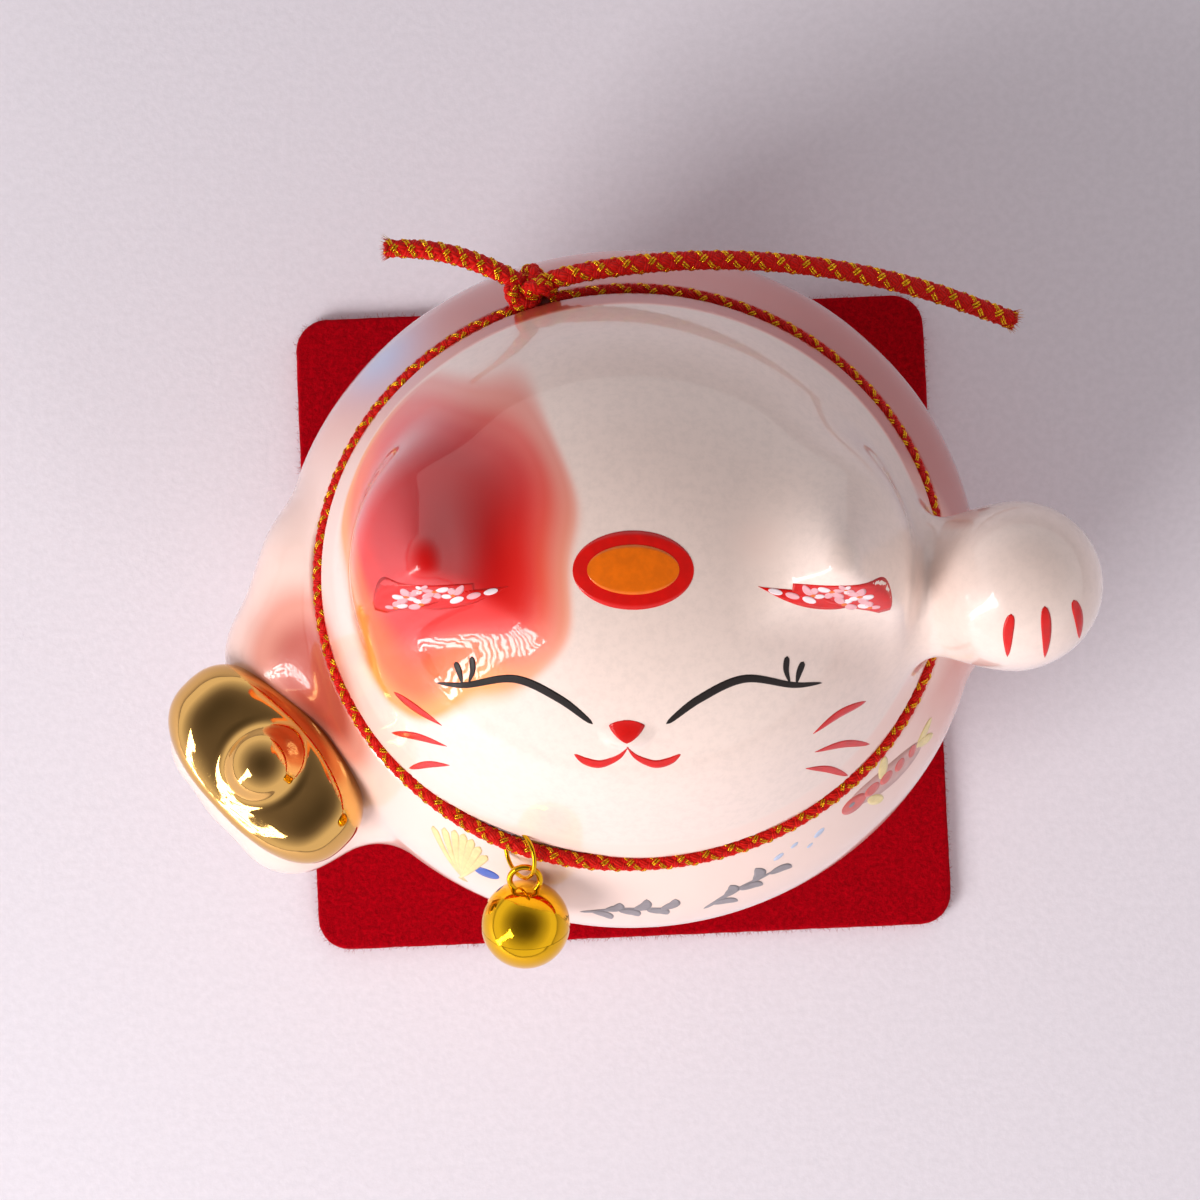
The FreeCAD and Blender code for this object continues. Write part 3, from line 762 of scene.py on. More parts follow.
def frayed_end(centre, direction, radius, seed, count=70):
    """Short loose filaments at a cut end: thin three-sided spikes that fan out."""
    random = np.random.default_rng(seed)
    side = unit(np.cross(direction, UP + 0.1))
    top = np.cross(side, direction)
    angle, share = random.uniform(0, 2 * math.pi, count), np.sqrt(random.uniform(0, 1, count))
    away = np.cos(angle)[:, None] * side + np.sin(angle)[:, None] * top
    root = centre + away * (share * radius)[:, None] - direction * 0.4
    reach = random.uniform(0.4, 1.1, count)[:, None]
    way = unit(direction + away * (0.15 + 0.5 * share[:, None]) + random.normal(0, 0.12, (count, 3)))
    tip = root + way * (0.4 + reach)
    a = np.arange(3) * 2 * math.pi / 3
    ring = 0.06 * (np.cos(a)[:, None] * side + np.sin(a)[:, None] * top)
    points = np.concatenate([(root[:, None] + ring), tip[:, None]], 1)
    base = np.arange(count)[:, None] * 4
    faces = np.concatenate([base + np.array(f) for f in ([0, 1, 3], [1, 2, 3], [2, 0, 3], [0, 2, 1])])
    return points.reshape(-1, 3), faces


def knot_middle():
    """Middle of the knot on the back of the neck, and the torso's normal there."""
    azimuth = -KNOT_ANGLE
    return torso_point(azimuth, cord_latitude(azimuth) - math.radians(KNOT_DROP_DEG), KNOT_OUT)


def end_route(offset, reach, climb, fall, count):
    """Route points of a free end: even steps along X, a parabola in Y and in Z."""
    centre, normal = knot_middle()
    t = np.arange(count) / (count - 1)
    arch = np.stack([reach * t, climb[0] * t - fall[0] * t ** 2, climb[1] * t - fall[1] * t ** 2], -1)
    return centre + normal * (CORD_D / 2) + np.asarray(offset) + arch


LONG_ROUTE = end_route((4.5, 0.6, 0.8), 57.0, (10.8, 7.4), (15.8, 12.4), 9)
SHORT_ROUTE = end_route((-3.5, 1.1, 0.4), -14.2, (6.8, 1.5), (3.8, 1.8), 5)


# ---------------------------------------------------------------- settings

def colour_setting(name, description, *parts):
    """A colour that a user would change, its default given as display parts of 0 to 255."""
    return bpy.props.FloatVectorProperty(name=name, description=description, subtype="COLOR", size=3,
                                         min=0.0, max=1.0, default=linear(*parts))


class CatSettings(bpy.types.PropertyGroup):
    """Sizes and colours that a user would change."""

    skin_step: bpy.props.FloatProperty(
        name="Skin Grid", description="Grid step that the glazed skin is worked out on", default=0.00066,
        min=0.0004, max=0.002, unit="LENGTH", precision=5)
    cream: colour_setting("Cream Glaze", "Ground colour of the glazed ware", 243, 220, 208)
    enamel_red: colour_setting("Red Enamel", "Mouth, nose, whiskers and claws", 214, 10, 2)
    enamel_dark: colour_setting("Dark Enamel", "Closed eyes and lashes", 32, 24, 22)
    gilding: colour_setting("Gold Lustre", "Colour of the gilded ingot", 236, 186, 108)
    brass: colour_setting("Bell Plating", "Colour of the bell and its ring", 248, 190, 30)
    yarn: colour_setting("Cord Yarn", "Red yarn of the neck cord", 206, 14, 4)
    thread: colour_setting("Gold Thread", "Metal thread in the neck cord", 246, 186, 34)
    felt: colour_setting("Felt", "Colour of the mat", 176, 0, 16)
    floor: colour_setting("Table", "Colour of the table top", 240, 234, 241)
    braid_pitch: bpy.props.FloatProperty(
        name="Braid Pitch", description="Length of one whole turn of a strand", default=0.0064,
        min=0.002, max=0.02, unit="LENGTH", precision=4)
    mat_fibres: bpy.props.IntProperty(
        name="Felt Fibres", description="Loose fibres that stand off the felt", default=5200, min=0, max=20000)
    window_power: bpy.props.FloatProperty(
        name="Window Power", description="Power of the large soft light at the front left", default=5.0,
        min=0.0, max=100.0, unit="POWER")


# ---------------------------------------------------------------- glazed skin

def airbrush(points):
    """Attribute values of the skin: how much of the red patch, how warm it is, and the pink blush with painted
    shade.

    The patch is 1 inside a superellipse in plan on the head and fades outwards; the blush grows towards the
    sides and back, most on the raised paw's side, a little lower down and in round spots by the holding arm,
    strength exp(-(d / radius)^2). Where it is strong on the raised paw's side, the back and in the arm's recess
    it is painted shade.
    """
    x, y, z = points.T
    plan = np.hypot(x / (HEAD_R[0] + 0.4), (y - HEAD_C[1]) / (HEAD_R[1] + 0.4))
    head = np.clip((1.0 - plan) / 0.03, 0, 1) * np.clip((z - 51.0) / 9.0, 0, 1)
    wave = 0.05 * np.sin(x * 0.45 + 1.0) + 0.05 * np.sin(y * 0.38 + x * 0.2)
    dx, dy, (cosine, sine) = x - PATCH_C[0], y - PATCH_C[1], PATCH_TURN
    along = (dx * cosine + dy * sine) / PATCH_HALF[0]
    across = (dy * cosine - dx * sine) / PATCH_HALF[1]
    reach = np.abs(along) ** PATCH_POWER + np.abs(across) ** PATCH_POWER
    patch = np.clip((1.12 - reach ** (1 / PATCH_POWER) + wave) / 0.72, 0, 1)
    patch *= head * np.clip((x + 36.6 + 0.12 * y) / 5.0, 0, 1)
    warmth = np.clip(np.clip((13.0 - y) / 15.0, 0, 1) + np.clip((-27.0 - x) / 6.0, 0, 0.9), 0, 1)
    warmth *= np.clip((-7.0 - x) / 10.0, 0.25, 1)
    azimuth = np.arctan2(x / TORSO_R[0], -y / TORSO_R[1])
    body = np.clip(1.25 - head * 2, 0, 1)
    low = np.clip((56.0 - z) / 22.0, 0, 1)
    # Stronger on the raised paw's side and on the back: pink airbrush, made deeper there as painted shade
    back = np.clip(np.where(azimuth > 0, azimuth - 0.8, -azimuth - 1.7) / 1.0, 0, 1)
    blush_and_shade = body * (0.13 + 0.85 * back + 0.16 * low * (0.4 + back))
    for strength, middle, radius in BLUSH_AND_SHADE_SPOTS:
        blush_and_shade += strength * np.exp(-((points - middle) ** 2).sum(1) / radius ** 2)
    strength, at_x, at_y, radius = EAR_BLUSH
    blush_and_shade += strength * np.exp(-((x - at_x) ** 2 + (y - at_y) ** 2) / radius ** 2) * head
    paw = np.clip((25.0 - np.linalg.norm(points - PAW_C, axis=1)) / 11.0, 0, 1)
    blush_and_shade = blush_and_shade * (1.0 - paw) + 0.04 * paw
    at_x, at_y, radius = CLOUD
    frost = np.exp(-((x - at_x) ** 2 + (y - at_y) ** 2) / radius ** 2) * body * np.clip((z - 36) / 8.0, 0, 1)
    return patch, warmth, np.clip(blush_and_shade, 0, 1), frost


def point_values(obj, name, values):
    """One number for each point, as an attribute."""
    layer = obj.data.attributes.new(name, "FLOAT", "POINT")
    layer.data.foreach_set("value", np.asarray(values, np.float32))


class CAT_OT_glazed_skin(bpy.types.Operator):
    """Body, head, ears, arms and tail as one glazed skin with rounded joins"""

    bl_idname = "cat.glazed_skin"
    bl_label = "Glazed Skin"

    def execute(self, context):
        settings = context.scene.cat_settings
        points, faces = level_surface(skin_field, *SKIN_BOX, settings.skin_step / MM)
        points = settle(skin_field, points)
        normals = unit(gradient(skin_field, points))
        obj = piece("glazed_cat", points, faces, glaze_material(settings), "figurine", normals)
        for name, values in zip(SPRAYS, airbrush(points)):
            point_values(obj, name, values)
        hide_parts("body_shell", "raised_arm", "holding_arm", "tail_stub")
        return {"FINISHED"}


# ---------------------------------------------------------------- painted marks

def through(points, count=30):
    """A smooth line through a few points: a Catmull-Rom curve at even steps."""
    p = np.asarray(points, float)
    p = np.concatenate([[2 * p[0] - p[1]], p, [2 * p[-1] - p[-2]]])
    t = np.linspace(0, len(p) - 3 - 1e-9, count)
    i = t.astype(int)
    f = (t - i)[:, None]
    a, b, c, d = p[i], p[i + 1], p[i + 2], p[i + 3]
    return 0.5 * (2 * b + (c - a) * f + (2 * a - 5 * b + 4 * c - d) * f ** 2 + (3 * b - a - 3 * c + d) * f ** 3)


def swelling(count, width, at=0.5, sharp=0.7):
    """Widths of a stroke that starts and ends in a point and is widest at a share of its length."""
    t = np.linspace(0, 1, count)
    power = math.log(0.5) / math.log(at)
    return width * np.maximum(np.sin(math.pi * t ** power) ** sharp, 0.03)


def face_marks(red, dark, orange):
    """Closed eyes, lashes, nose, mouth, whiskers, claws and the spot on the forehead."""
    marks = []
    shift = np.array([FACE_X, 0])
    for side, name in ((-1, "right"), (1, "left")):
        flip = np.array([side, 1])
        eye = np.array([(4.3, -18.3), (8.3, -15.3), (13.5, -13.0), (19.4, -13.65), (23.0, -13.35)])
        line = through(eye * flip + shift, 44)
        marks.append(painted(f"eye_{name}", line, swelling(44, 0.95, 0.36, 0.5), dark))
        lashes = [[(18.6, -10.3), (18.5, -11.9), (19.0, -13.4)], [(20.6, -10.9), (20.1, -12.2), (19.8, -13.5)]]
        for k, lash in enumerate(lashes):
            line = through(np.array(lash) * flip + shift, 14)
            marks.append(painted(f"lash_{name}_{k + 1}", line, swelling(14, 0.72, 0.3, 0.55), dark, lift=0.045))
        mouth = np.array([(-0.1, -21.0), (1.1, -22.2), (3.2, -23.0), (5.0, -22.65), (6.3, -21.85)])
        line = through(mouth * flip + [FACE_X - 0.2, 0], 30)
        marks.append(painted(f"mouth_{name}", line, swelling(30, 0.92, 0.6, 0.6), red))
    whiskers = [
        ((-28.9, -14.3), (-26.0, -16.4), (-22.9, -18.4)), ((-29.6, -19.2), (-26.2, -19.7), (-22.4, -20.9)),
        ((-27.6, -23.6), (-25.0, -23.1), (-22.2, -23.2)), ((28.5, -15.4), (25.0, -17.0), (21.8, -19.4)),
        ((29.6, -20.6), (26.0, -20.6), (22.2, -21.6)), ((27.0, -24.5), (24.2, -23.7), (21.2, -23.6))]
    for k, line in enumerate(whiskers):
        marks.append(painted(f"whisker_{k + 1}", through(line, 18), swelling(18, 0.85, 0.42, 0.8), red))
    t = np.linspace(0, 1, 22)
    nose = np.column_stack([np.full(22, -0.7), -17.85 - 2.75 * t])
    width = 4.5 * np.minimum(1, (t / 0.22 + 0.02) ** 0.5) * (1.0 - t ** 1.7) ** 0.75 + 0.02
    marks.append(painted("nose", nose, width, red, 9))
    claws = [((44.7, -5.3), (44.5, -7.5), (44.8, -10.2)), ((48.6, -4.4), (49.0, -7.2), (49.3, -10.3)),
             ((52.2, -3.6), (53.0, -5.6), (53.5, -8.0))]
    for k, line in enumerate(claws):
        marks.append(painted(f"claw_{k + 1}", through(line, 20), swelling(20, 1.25, 0.38, 0.6), red))
    marks.append(painted("forehead_rim", *oval((0.0, -0.5), 7.05, 4.6, 0, 41), red, 15))
    marks.append(painted("forehead_middle", *oval((0.0, -0.45), 5.35, 2.9, 0, 41), orange, 13, lift=0.06))
    return marks


def ear_marks(side, red, pink, white, orange):
    """Petal pattern on the flat front of one ear: rays go square onto it, along its leaning normal.

    Places are (along, up) from the middle of the ear's base, along falling with the head.
    """
    name = "right" if side < 0 else "left"
    slope = math.radians(-32.0)
    ahead = np.array([side * math.cos(slope), 0, math.sin(slope)])
    base = np.array([side * 24.0, 0.0, 81.4])
    aim = np.array([0.0, math.cos(EAR_FRONT_TILT), -math.sin(EAR_FRONT_TILT)])
    top = head_top(EAR_C[0], EAR_C[1])

    def ray(places):
        places = np.asarray(places, float)
        p = base + places[:, :1] * ahead + places[:, 1:] * UP
        p[:, 1] = EAR_FRONT_Y + (p[:, 2] - top) * math.tan(EAR_FRONT_TILT)
        return p - aim * 6.0

    def panel_height(u):
        return 5.8 * np.maximum(1 - (u / 7.2) ** 2, 0) ** 0.7 * (1 + 0.09 * u)

    u = np.linspace(-6.4, 6.9, 45)
    height = panel_height(u)
    line = ray(np.column_stack([u, 0.15 + height / 2]))
    marks = [painted(f"ear_panel_{name}", line, np.maximum(height * 0.86, 0.05), red, 11, aim=aim)]
    flowers = [(-3.5, 1.2, 1.5, 10), (-1.0, 3.2, 1.8, 40), (1.0, 0.8, 1.7, -10), (3.0, 3.6, 1.9, 15),
               (4.7, 1.2, 1.6, 30), (0.9, 4.7, 1.1, 0)]
    for k, (u, v, size, turn) in enumerate(flowers):
        for j in range(5):
            angle = turn + 72 * j
            way = math.radians(angle)
            middle = np.array([u, v]) + 0.6 * size * np.array([math.cos(way), math.sin(way)])
            line, width = oval(middle, size * 0.46, size * 0.32, angle, 13)
            if (line[:, 1] > 0.1).all() and (line[:, 1] < panel_height(line[:, 0]) * 0.98 + 0.1).all():
                tone = pink if (j + k) % 3 else white
                marks.append(painted(f"petal_{name}_{k}{j}", ray(line), width, tone, 5, lift=0.07, aim=aim))
        line, width = oval((u, v), 0.2 * size, 0.2 * size, 0, 9)
        marks.append(painted(f"flower_heart_{name}_{k}", ray(line), width, orange, 5, lift=0.075, aim=aim))
    flip = np.array([side, 1])
    tip = through(np.array([(14.6, -2.3), (17.6, -3.2), (21.0, -3.9), (25.0, -4.6)]) * flip, 22)
    marks.append(painted(f"ear_tip_{name}", tip, swelling(22, 1.7, 0.6, 0.8), red))
    for k, (x, y) in enumerate([(16.6, -2.9), (18.6, -3.35), (20.6, -3.8)]):
        line, width = oval(np.array([x, y]) * flip, 0.85, 0.34, -14 * side, 13)
        marks.append(painted(f"tip_petal_{name}_{k}", line, width, pink if k % 2 else white, lift=0.07))
    return marks


def sprig(name, azimuth, latitude, tilt, ink, count=6):
    """A brushed sprig: a bent stem with pairs of leaves, in millimetres about a place on the torso."""
    turn = math.radians(tilt)
    ahead = np.array([math.cos(turn), math.sin(turn)])
    aside = np.array([-ahead[1], ahead[0]])
    scale = np.array([1 / 0.72, 1 / 0.66])

    def place(points):
        points = np.asarray(points, float)
        flat = points[:, :1] * ahead + points[:, 1:] * aside
        return np.array([azimuth, latitude]) + flat * scale

    stem = place(through([(-5.6, -0.8), (-1.5, 0.5), (2.0, 0.4), (5.4, -0.4)], 26))
    marks = [wrap_mark(f"{name}_stem", stem[:, 0], stem[:, 1], swelling(26, 0.95, 0.4, 0.4), ink)]
    for k in range(count):
        root = np.array([-4.2 + 8.6 * k / (count - 1), 0.35 * math.sin(k)])
        way = 1 if k % 2 else -1
        tip = root + np.array([2.2, way * (2.6 + 0.5 * math.cos(2.1 * k))])
        bend = (root + tip) / 2 + np.array([0.6, -0.35 * way])
        leaf_line = place(through([root, bend, tip], 14))
        marks.append(wrap_mark(f"{name}_leaf_{k + 1}", leaf_line[:, 0], leaf_line[:, 1],
                               swelling(14, 1.7, 0.45, 0.7), ink, lift=0.04 + 0.01 * (k % 3)))
    return marks


def belly_marks(inks):
    """Small faded pictures on the belly: a shell fan, a blue flag, two sprigs, drops and a fish."""
    marks = sprig("sprig_1", -0.9, 20.0, 8, inks["grey"]) + sprig("sprig_2", 19.0, 21.5, 24, inks["grey"], 5)
    for k in range(7):
        reach = np.linspace(-0.12, 1.0, 18)
        az = -29.1 + reach * (-8.9 + 1.85 * k)
        lat = 15.3 + reach * (12.0 + 6.5 * math.sin(math.pi * (0.1 + 0.125 * k)))
        end = np.clip(1.02 - np.clip((reach - 0.86) / 0.14, 0, 1) ** 2, 0, 1)
        rib = (0.35 + 0.95 * np.clip(reach, 0, 1)) * np.sqrt(end)
        marks.append(wrap_mark(f"fan_{k + 1}", az, lat, rib, inks["straw"], lift=0.03 + 0.004 * k))
    marks.append(wrap_oval("flag", -25.6, 23.2, 1.7, 1.1, 15, inks["blue"]))
    drops = [(27.5, 29.0, 0.8), (31.0, 30.2, 0.6), (36.0, 29.0, 0.9), (33.4, 26.6, 0.5)]
    for k, (az, lat, size) in enumerate(drops):
        marks.append(wrap_oval(f"drop_{k + 1}", az, lat, size, size * 0.55, 30, inks["pale_blue"]))
    marks.append(wrap_oval("fish_body", 52.0, 26.6, 6.6, 2.5, -28, inks["fish"], count=31))
    marks.append(wrap_oval("fish_head", 44.2, 29.4, 1.9, 1.7, -28, inks["coral"], 0.05))
    marks.append(wrap_oval("fish_eye", 43.8, 29.9, 0.45, 0.4, 0, inks["grey"], 0.075, 9))
    for k in range(4):
        marks.append(wrap_oval(f"fish_scale_{k + 1}", 48.4 + 3.3 * k, 28.3 - 1.35 * k, 1.15, 1.3 - 0.18 * k, 60,
                               inks["coral"], 0.055))
    fins = [(62.2, 23.6, 10), (61.2, 21.2, -60), (47.6, 23.6, -75), (52.6, 31.0, 60)]
    for k, (az, lat, tilt) in enumerate(fins):
        marks.append(wrap_oval(f"fish_fin_{k + 1}", az, lat, 2.1, 0.85, tilt, inks["straw"], 0.045))
    return marks


class CAT_OT_painted_marks(bpy.types.Operator):
    """Face, claws, ear patterns and the small pictures on the belly, as thin painted layers"""

    bl_idname = "cat.painted_marks"
    bl_label = "Painted Marks"

    def execute(self, context):
        settings = context.scene.cat_settings
        red = enamel("red_enamel", tuple(settings.enamel_red))
        dark = enamel("dark_enamel", tuple(settings.enamel_dark), 0.6, 0.1)
        orange = enamel("orange_enamel", linear(232, 108, 0))
        pink = enamel("pink_enamel", linear(236, 170, 176))
        white = enamel("white_enamel", linear(244, 226, 228))
        tones = {"grey": (140, 132, 136), "straw": (238, 214, 150), "blue": (62, 96, 190),
                 "pale_blue": (190, 200, 226), "fish": (206, 158, 150), "coral": (216, 96, 88)}
        inks = {name: enamel(f"{name}_ink", linear(*tone)) for name, tone in tones.items()}
        marks = face_marks(red, dark, orange) + belly_marks(inks)
        for side in (-1, 1):
            marks += ear_marks(side, red, pink, white, orange)
        for name, (points, faces), material in marks:
            piece(name, points, faces, material, "figurine")
        return {"FINISHED"}


# ---------------------------------------------------------------- ingot

def ingot_field(p):
    """Superellipsoid boat less a cylinder across its top, joined to a round knob."""
    length, width = INGOT_SIZE
    turn = -INGOT_YAW
    q = p - np.array([INGOT_C[0], INGOT_C[1], HAND_Z + HAND_R - INGOT_SEAT])
    x = q[..., 0] * math.cos(turn) - q[..., 1] * math.sin(turn)
    y = q[..., 0] * math.sin(turn) + q[..., 1] * math.cos(turn)
    q = np.stack([x, y, q[..., 2]], -1)
    half = INGOT_HALF_H
    scaled = np.abs((q - [0, 0, half]) / [length / 2, width / 2, half])
    size = (scaled[..., 0] ** 2.5 + scaled[..., 1] ** 2.5) ** (2.2 / 2.5)
    boat = ((size + scaled[..., 2] ** 2.2) ** (1 / 2.2) - 1) * width / 2
    low = 2 * half - INGOT_SADDLE[1]
    saddle = np.hypot(q[..., 0], q[..., 2] - low - INGOT_SADDLE[0]) - INGOT_SADDLE[0]
    boat = trim(boat, -saddle, 3.2)
    knob = ellipsoid(q, (0, 0, low), (INGOT_KNOB[0], INGOT_KNOB[0], INGOT_KNOB[1]))
    return join(boat, knob, 1.8)


def radial_surface(field, centre, reach, rows=150, columns=300):
    """Surface of a body seen from its middle: rays come in to the centre on a grid of angles."""
    polar = (np.arange(rows) + 0.5) / rows * math.pi
    around = np.linspace(0, 2 * math.pi, columns, endpoint=False)
    out = np.stack(np.broadcast_arrays(
        np.sin(polar)[:, None] * np.cos(around), np.sin(polar)[:, None] * np.sin(around),
        np.cos(polar)[:, None]), -1)
    points, normals = cast(field, centre + out * reach, -out, 110)
    return points.reshape(-1, 3), closed_grid(rows, columns), normals.reshape(-1, 3)


class CAT_OT_gold_ingot(bpy.types.Operator):
    """Boat-shaped ingot in mirror gold, held in the lower paw"""

    bl_idname = "cat.gold_ingot"
    bl_label = "Gold Ingot"

    def execute(self, context):
        settings = context.scene.cat_settings
        gold = metal("gold_lustre", tuple(settings.gilding), 0.045, 0.16, 130.0)
        low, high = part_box("gold_ingot")
        centre = (np.array(low) + np.array(high)) / 2 / MM
        points, faces, normals = radial_surface(ingot_field, centre, 20.0)
        obj = piece("gilded_ingot", points, faces, gold, "figurine", normals)
        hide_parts("gold_ingot")
        return {"FINISHED"}


# ---------------------------------------------------------------- neck cord

def cord_pieces(name, line, diameter, pitch, yarn, thread, up=UP):
    """The red yarn and the gold thread of one length of braid."""
    (red, red_faces, uv), (gold, gold_faces) = braid(line, diameter, pitch, up)
    yarn_piece = piece(name, red, red_faces, yarn, "figurine")
    add_uv(yarn_piece, uv)
    return yarn_piece, piece(f"{name}_gold_thread", gold, gold_faces, thread, "figurine")


def knot_route():
    """Trefoil knot, flattened against the torso: in plan sin t + 2 sin 2t and cos t - 2 cos 2t, and
    -sin 3t along the torso's normal."""
    centre, normal = knot_middle()
    ahead = unit(np.cross(normal, UP))
    above = np.cross(ahead, normal)
    t = np.linspace(0, 2 * math.pi, 31) + 0.35
    flat = KNOT_LOBE * np.stack([np.sin(t) + 2 * np.sin(2 * t), np.cos(t) - 2 * np.cos(2 * t)], -1)
    rise = -KNOT_RISE * np.sin(3 * t)
    return centre + flat[:, :1] * ahead * 1.05 + flat[:, 1:] * above + rise[:, None] * normal, normal


class CAT_OT_neck_cord(bpy.types.Operator):
    """Braided red cord with gold thread round the neck, its knot and its two free ends"""

    bl_idname = "cat.neck_cord"
    bl_label = "Neck Cord"

    def execute(self, context):
        settings = context.scene.cat_settings
        yarn = yarn_material(tuple(settings.yarn))
        thread = metal("gold_thread", tuple(settings.thread), 0.22, 0.5, 2200.0)
        pitch = settings.braid_pitch / MM
        start, end = KNOT_HALF_ANGLE - KNOT_ANGLE, 2 * math.pi - KNOT_ANGLE - KNOT_HALF_ANGLE
        azimuth = np.linspace(start, end, CORD_POINTS)
        line = smooth_route(cord_point(azimuth), 18)
        collar, _ = cord_pieces("collar_braid", line, CORD_D, pitch, yarn, thread)
        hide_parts("collar_cord")
        route, normal = knot_route()
        knot, _ = cord_pieces("knot_braid", smooth_route(route, 10), KNOT_CORD_D, KNOT_PITCH, yarn, thread,
                              up=normal)
        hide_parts("cord_knot")
        centre = knot_middle()[0]
        tails = [("long_end", LONG_ROUTE, 28, pitch, "cord_end_long", 7),
                 ("short_end", SHORT_ROUTE, 14, SHORT_END_PITCH, "cord_end_short", 8)]
        for name, outer, steps, turn, node, seed in tails:
            route = np.concatenate([[centre + 0.35 * (outer[0] - centre)], outer])
            line = smooth_route(route, steps)
            braid_piece, gold_piece = cord_pieces(f"{name}_braid", line, CORD_END_D, turn, yarn, thread)
            way = unit(line[-1] - line[-4])
            tuft_points, tuft_faces = frayed_end(line[-1], way, CORD_END_D / 2 - FRAY_INSET, seed)
            tuft = piece(f"{name}_fray", tuft_points, tuft_faces, yarn, "figurine")
            add_uv(tuft, np.zeros((len(tuft_points), 2)))
            tuft_points, tuft_faces = frayed_end(line[-1], way, CORD_END_D / 2 - FRAY_INSET, seed + 20, 26)
            bristles = piece(f"{name}_gold_fray", tuft_points, tuft_faces, thread, "figurine")
            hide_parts(node)
        return {"FINISHED"}


# ---------------------------------------------------------------- bell and ring

def smooth_copy(node_name, name, material, body, sharp_deg=40.0):
    """A node's mesh with its loose triangles joined and shaded smooth up to a corner angle."""
    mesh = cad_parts[node_name].data.copy()
    mesh.name = name
    work = bmesh.new()
    work.from_mesh(mesh)
    bmesh.ops.remove_doubles(work, verts=work.verts, dist=1e-6)
    work.to_mesh(mesh)
    work.free()
    for layer in list(mesh.uv_layers):
        mesh.uv_layers.remove(layer)
    if "custom_normal" in mesh.attributes:
        mesh.attributes.remove(mesh.attributes["custom_normal"])
    mesh.polygons.foreach_set("use_smooth", np.ones(len(mesh.polygons), bool))
    mesh.set_sharp_from_angle(angle=math.radians(sharp_deg))
    mesh.materials.clear()
    mesh.materials.append(material)
    obj = bpy.data.objects.new(name, mesh)
    bpy.context.scene.collection.objects.link(obj)
    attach(obj, body)
    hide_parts(node_name)
    return obj


class CAT_OT_bell(bpy.types.Operator):
    """Round bell with its loop, pellet and the open ring that hangs it from the cord"""

    bl_idname = "cat.bell"
    bl_label = "Bell and Ring"

    def execute(self, context):
        settings = context.scene.cat_settings
        plated = metal("bright_plating", tuple(settings.brass), 0.07, 0.12, 240.0)
        wire = metal("plated_wire", shade(settings.brass, 0.9), 0.12, 0.1, 400.0)
        steel = metal("steel_pellet", linear(170, 168, 165), 0.35, 0.3, 900.0)
        for node_name, name, material, body, slot in (
                ("bell_cap", "bell_cap_shell", plated, "bell", "bell"),
                ("bell_cup", "bell_cup_shell", plated, "bell", "bell"),
                ("bell_loop", "bell_loop_wire", plated, "bell", "bell"),
                ("bell_pellet", "rattle_pellet", steel, "pellet", "pellet"),
                ("jump_ring", "jump_ring_wire", wire, "ring", "wire")):
            smooth_copy(node_name, name, material, body)
        return {"FINISHED"}


# ---------------------------------------------------------------- felt mat

def mat_ring(angle, inset, share=1.0):
    """Outline of the mat, inset from its edge, or a smaller copy of it about its middle.

    A point of the outline is the nearest point of the square shrunk by the corner radius,
    moved out by the radius.
    """
    half, corner = MAT_SIDE / 2, MAT_CORNER_R
    way = np.stack([np.cos(angle), np.sin(angle)], -1)
    square = way / np.abs(way).max(-1, keepdims=True) * half
    core = np.clip(square, corner - half, half - corner)
    flat = (core + unit(square - core) * (corner - inset)) * share
    yaw = math.radians(MAT_YAW_DEG)
    turned = np.stack([flat[..., 0] * math.cos(yaw) - flat[..., 1] * math.sin(yaw),
                       flat[..., 0] * math.sin(yaw) + flat[..., 1] * math.cos(yaw)], -1)
    return turned + MAT_SHIFT


def felt_lumps(x, y):
    """Slight unevenness of pressed felt: a few waves of different lengths and directions."""
    total = np.zeros_like(x)
    for k in range(10):
        turn = 2.399 * k
        length = 0.9 + 0.55 * k
        total += np.sin((x * math.cos(turn) + y * math.sin(turn)) * 2 * math.pi / length + 1.7 * k) / 10
    return total


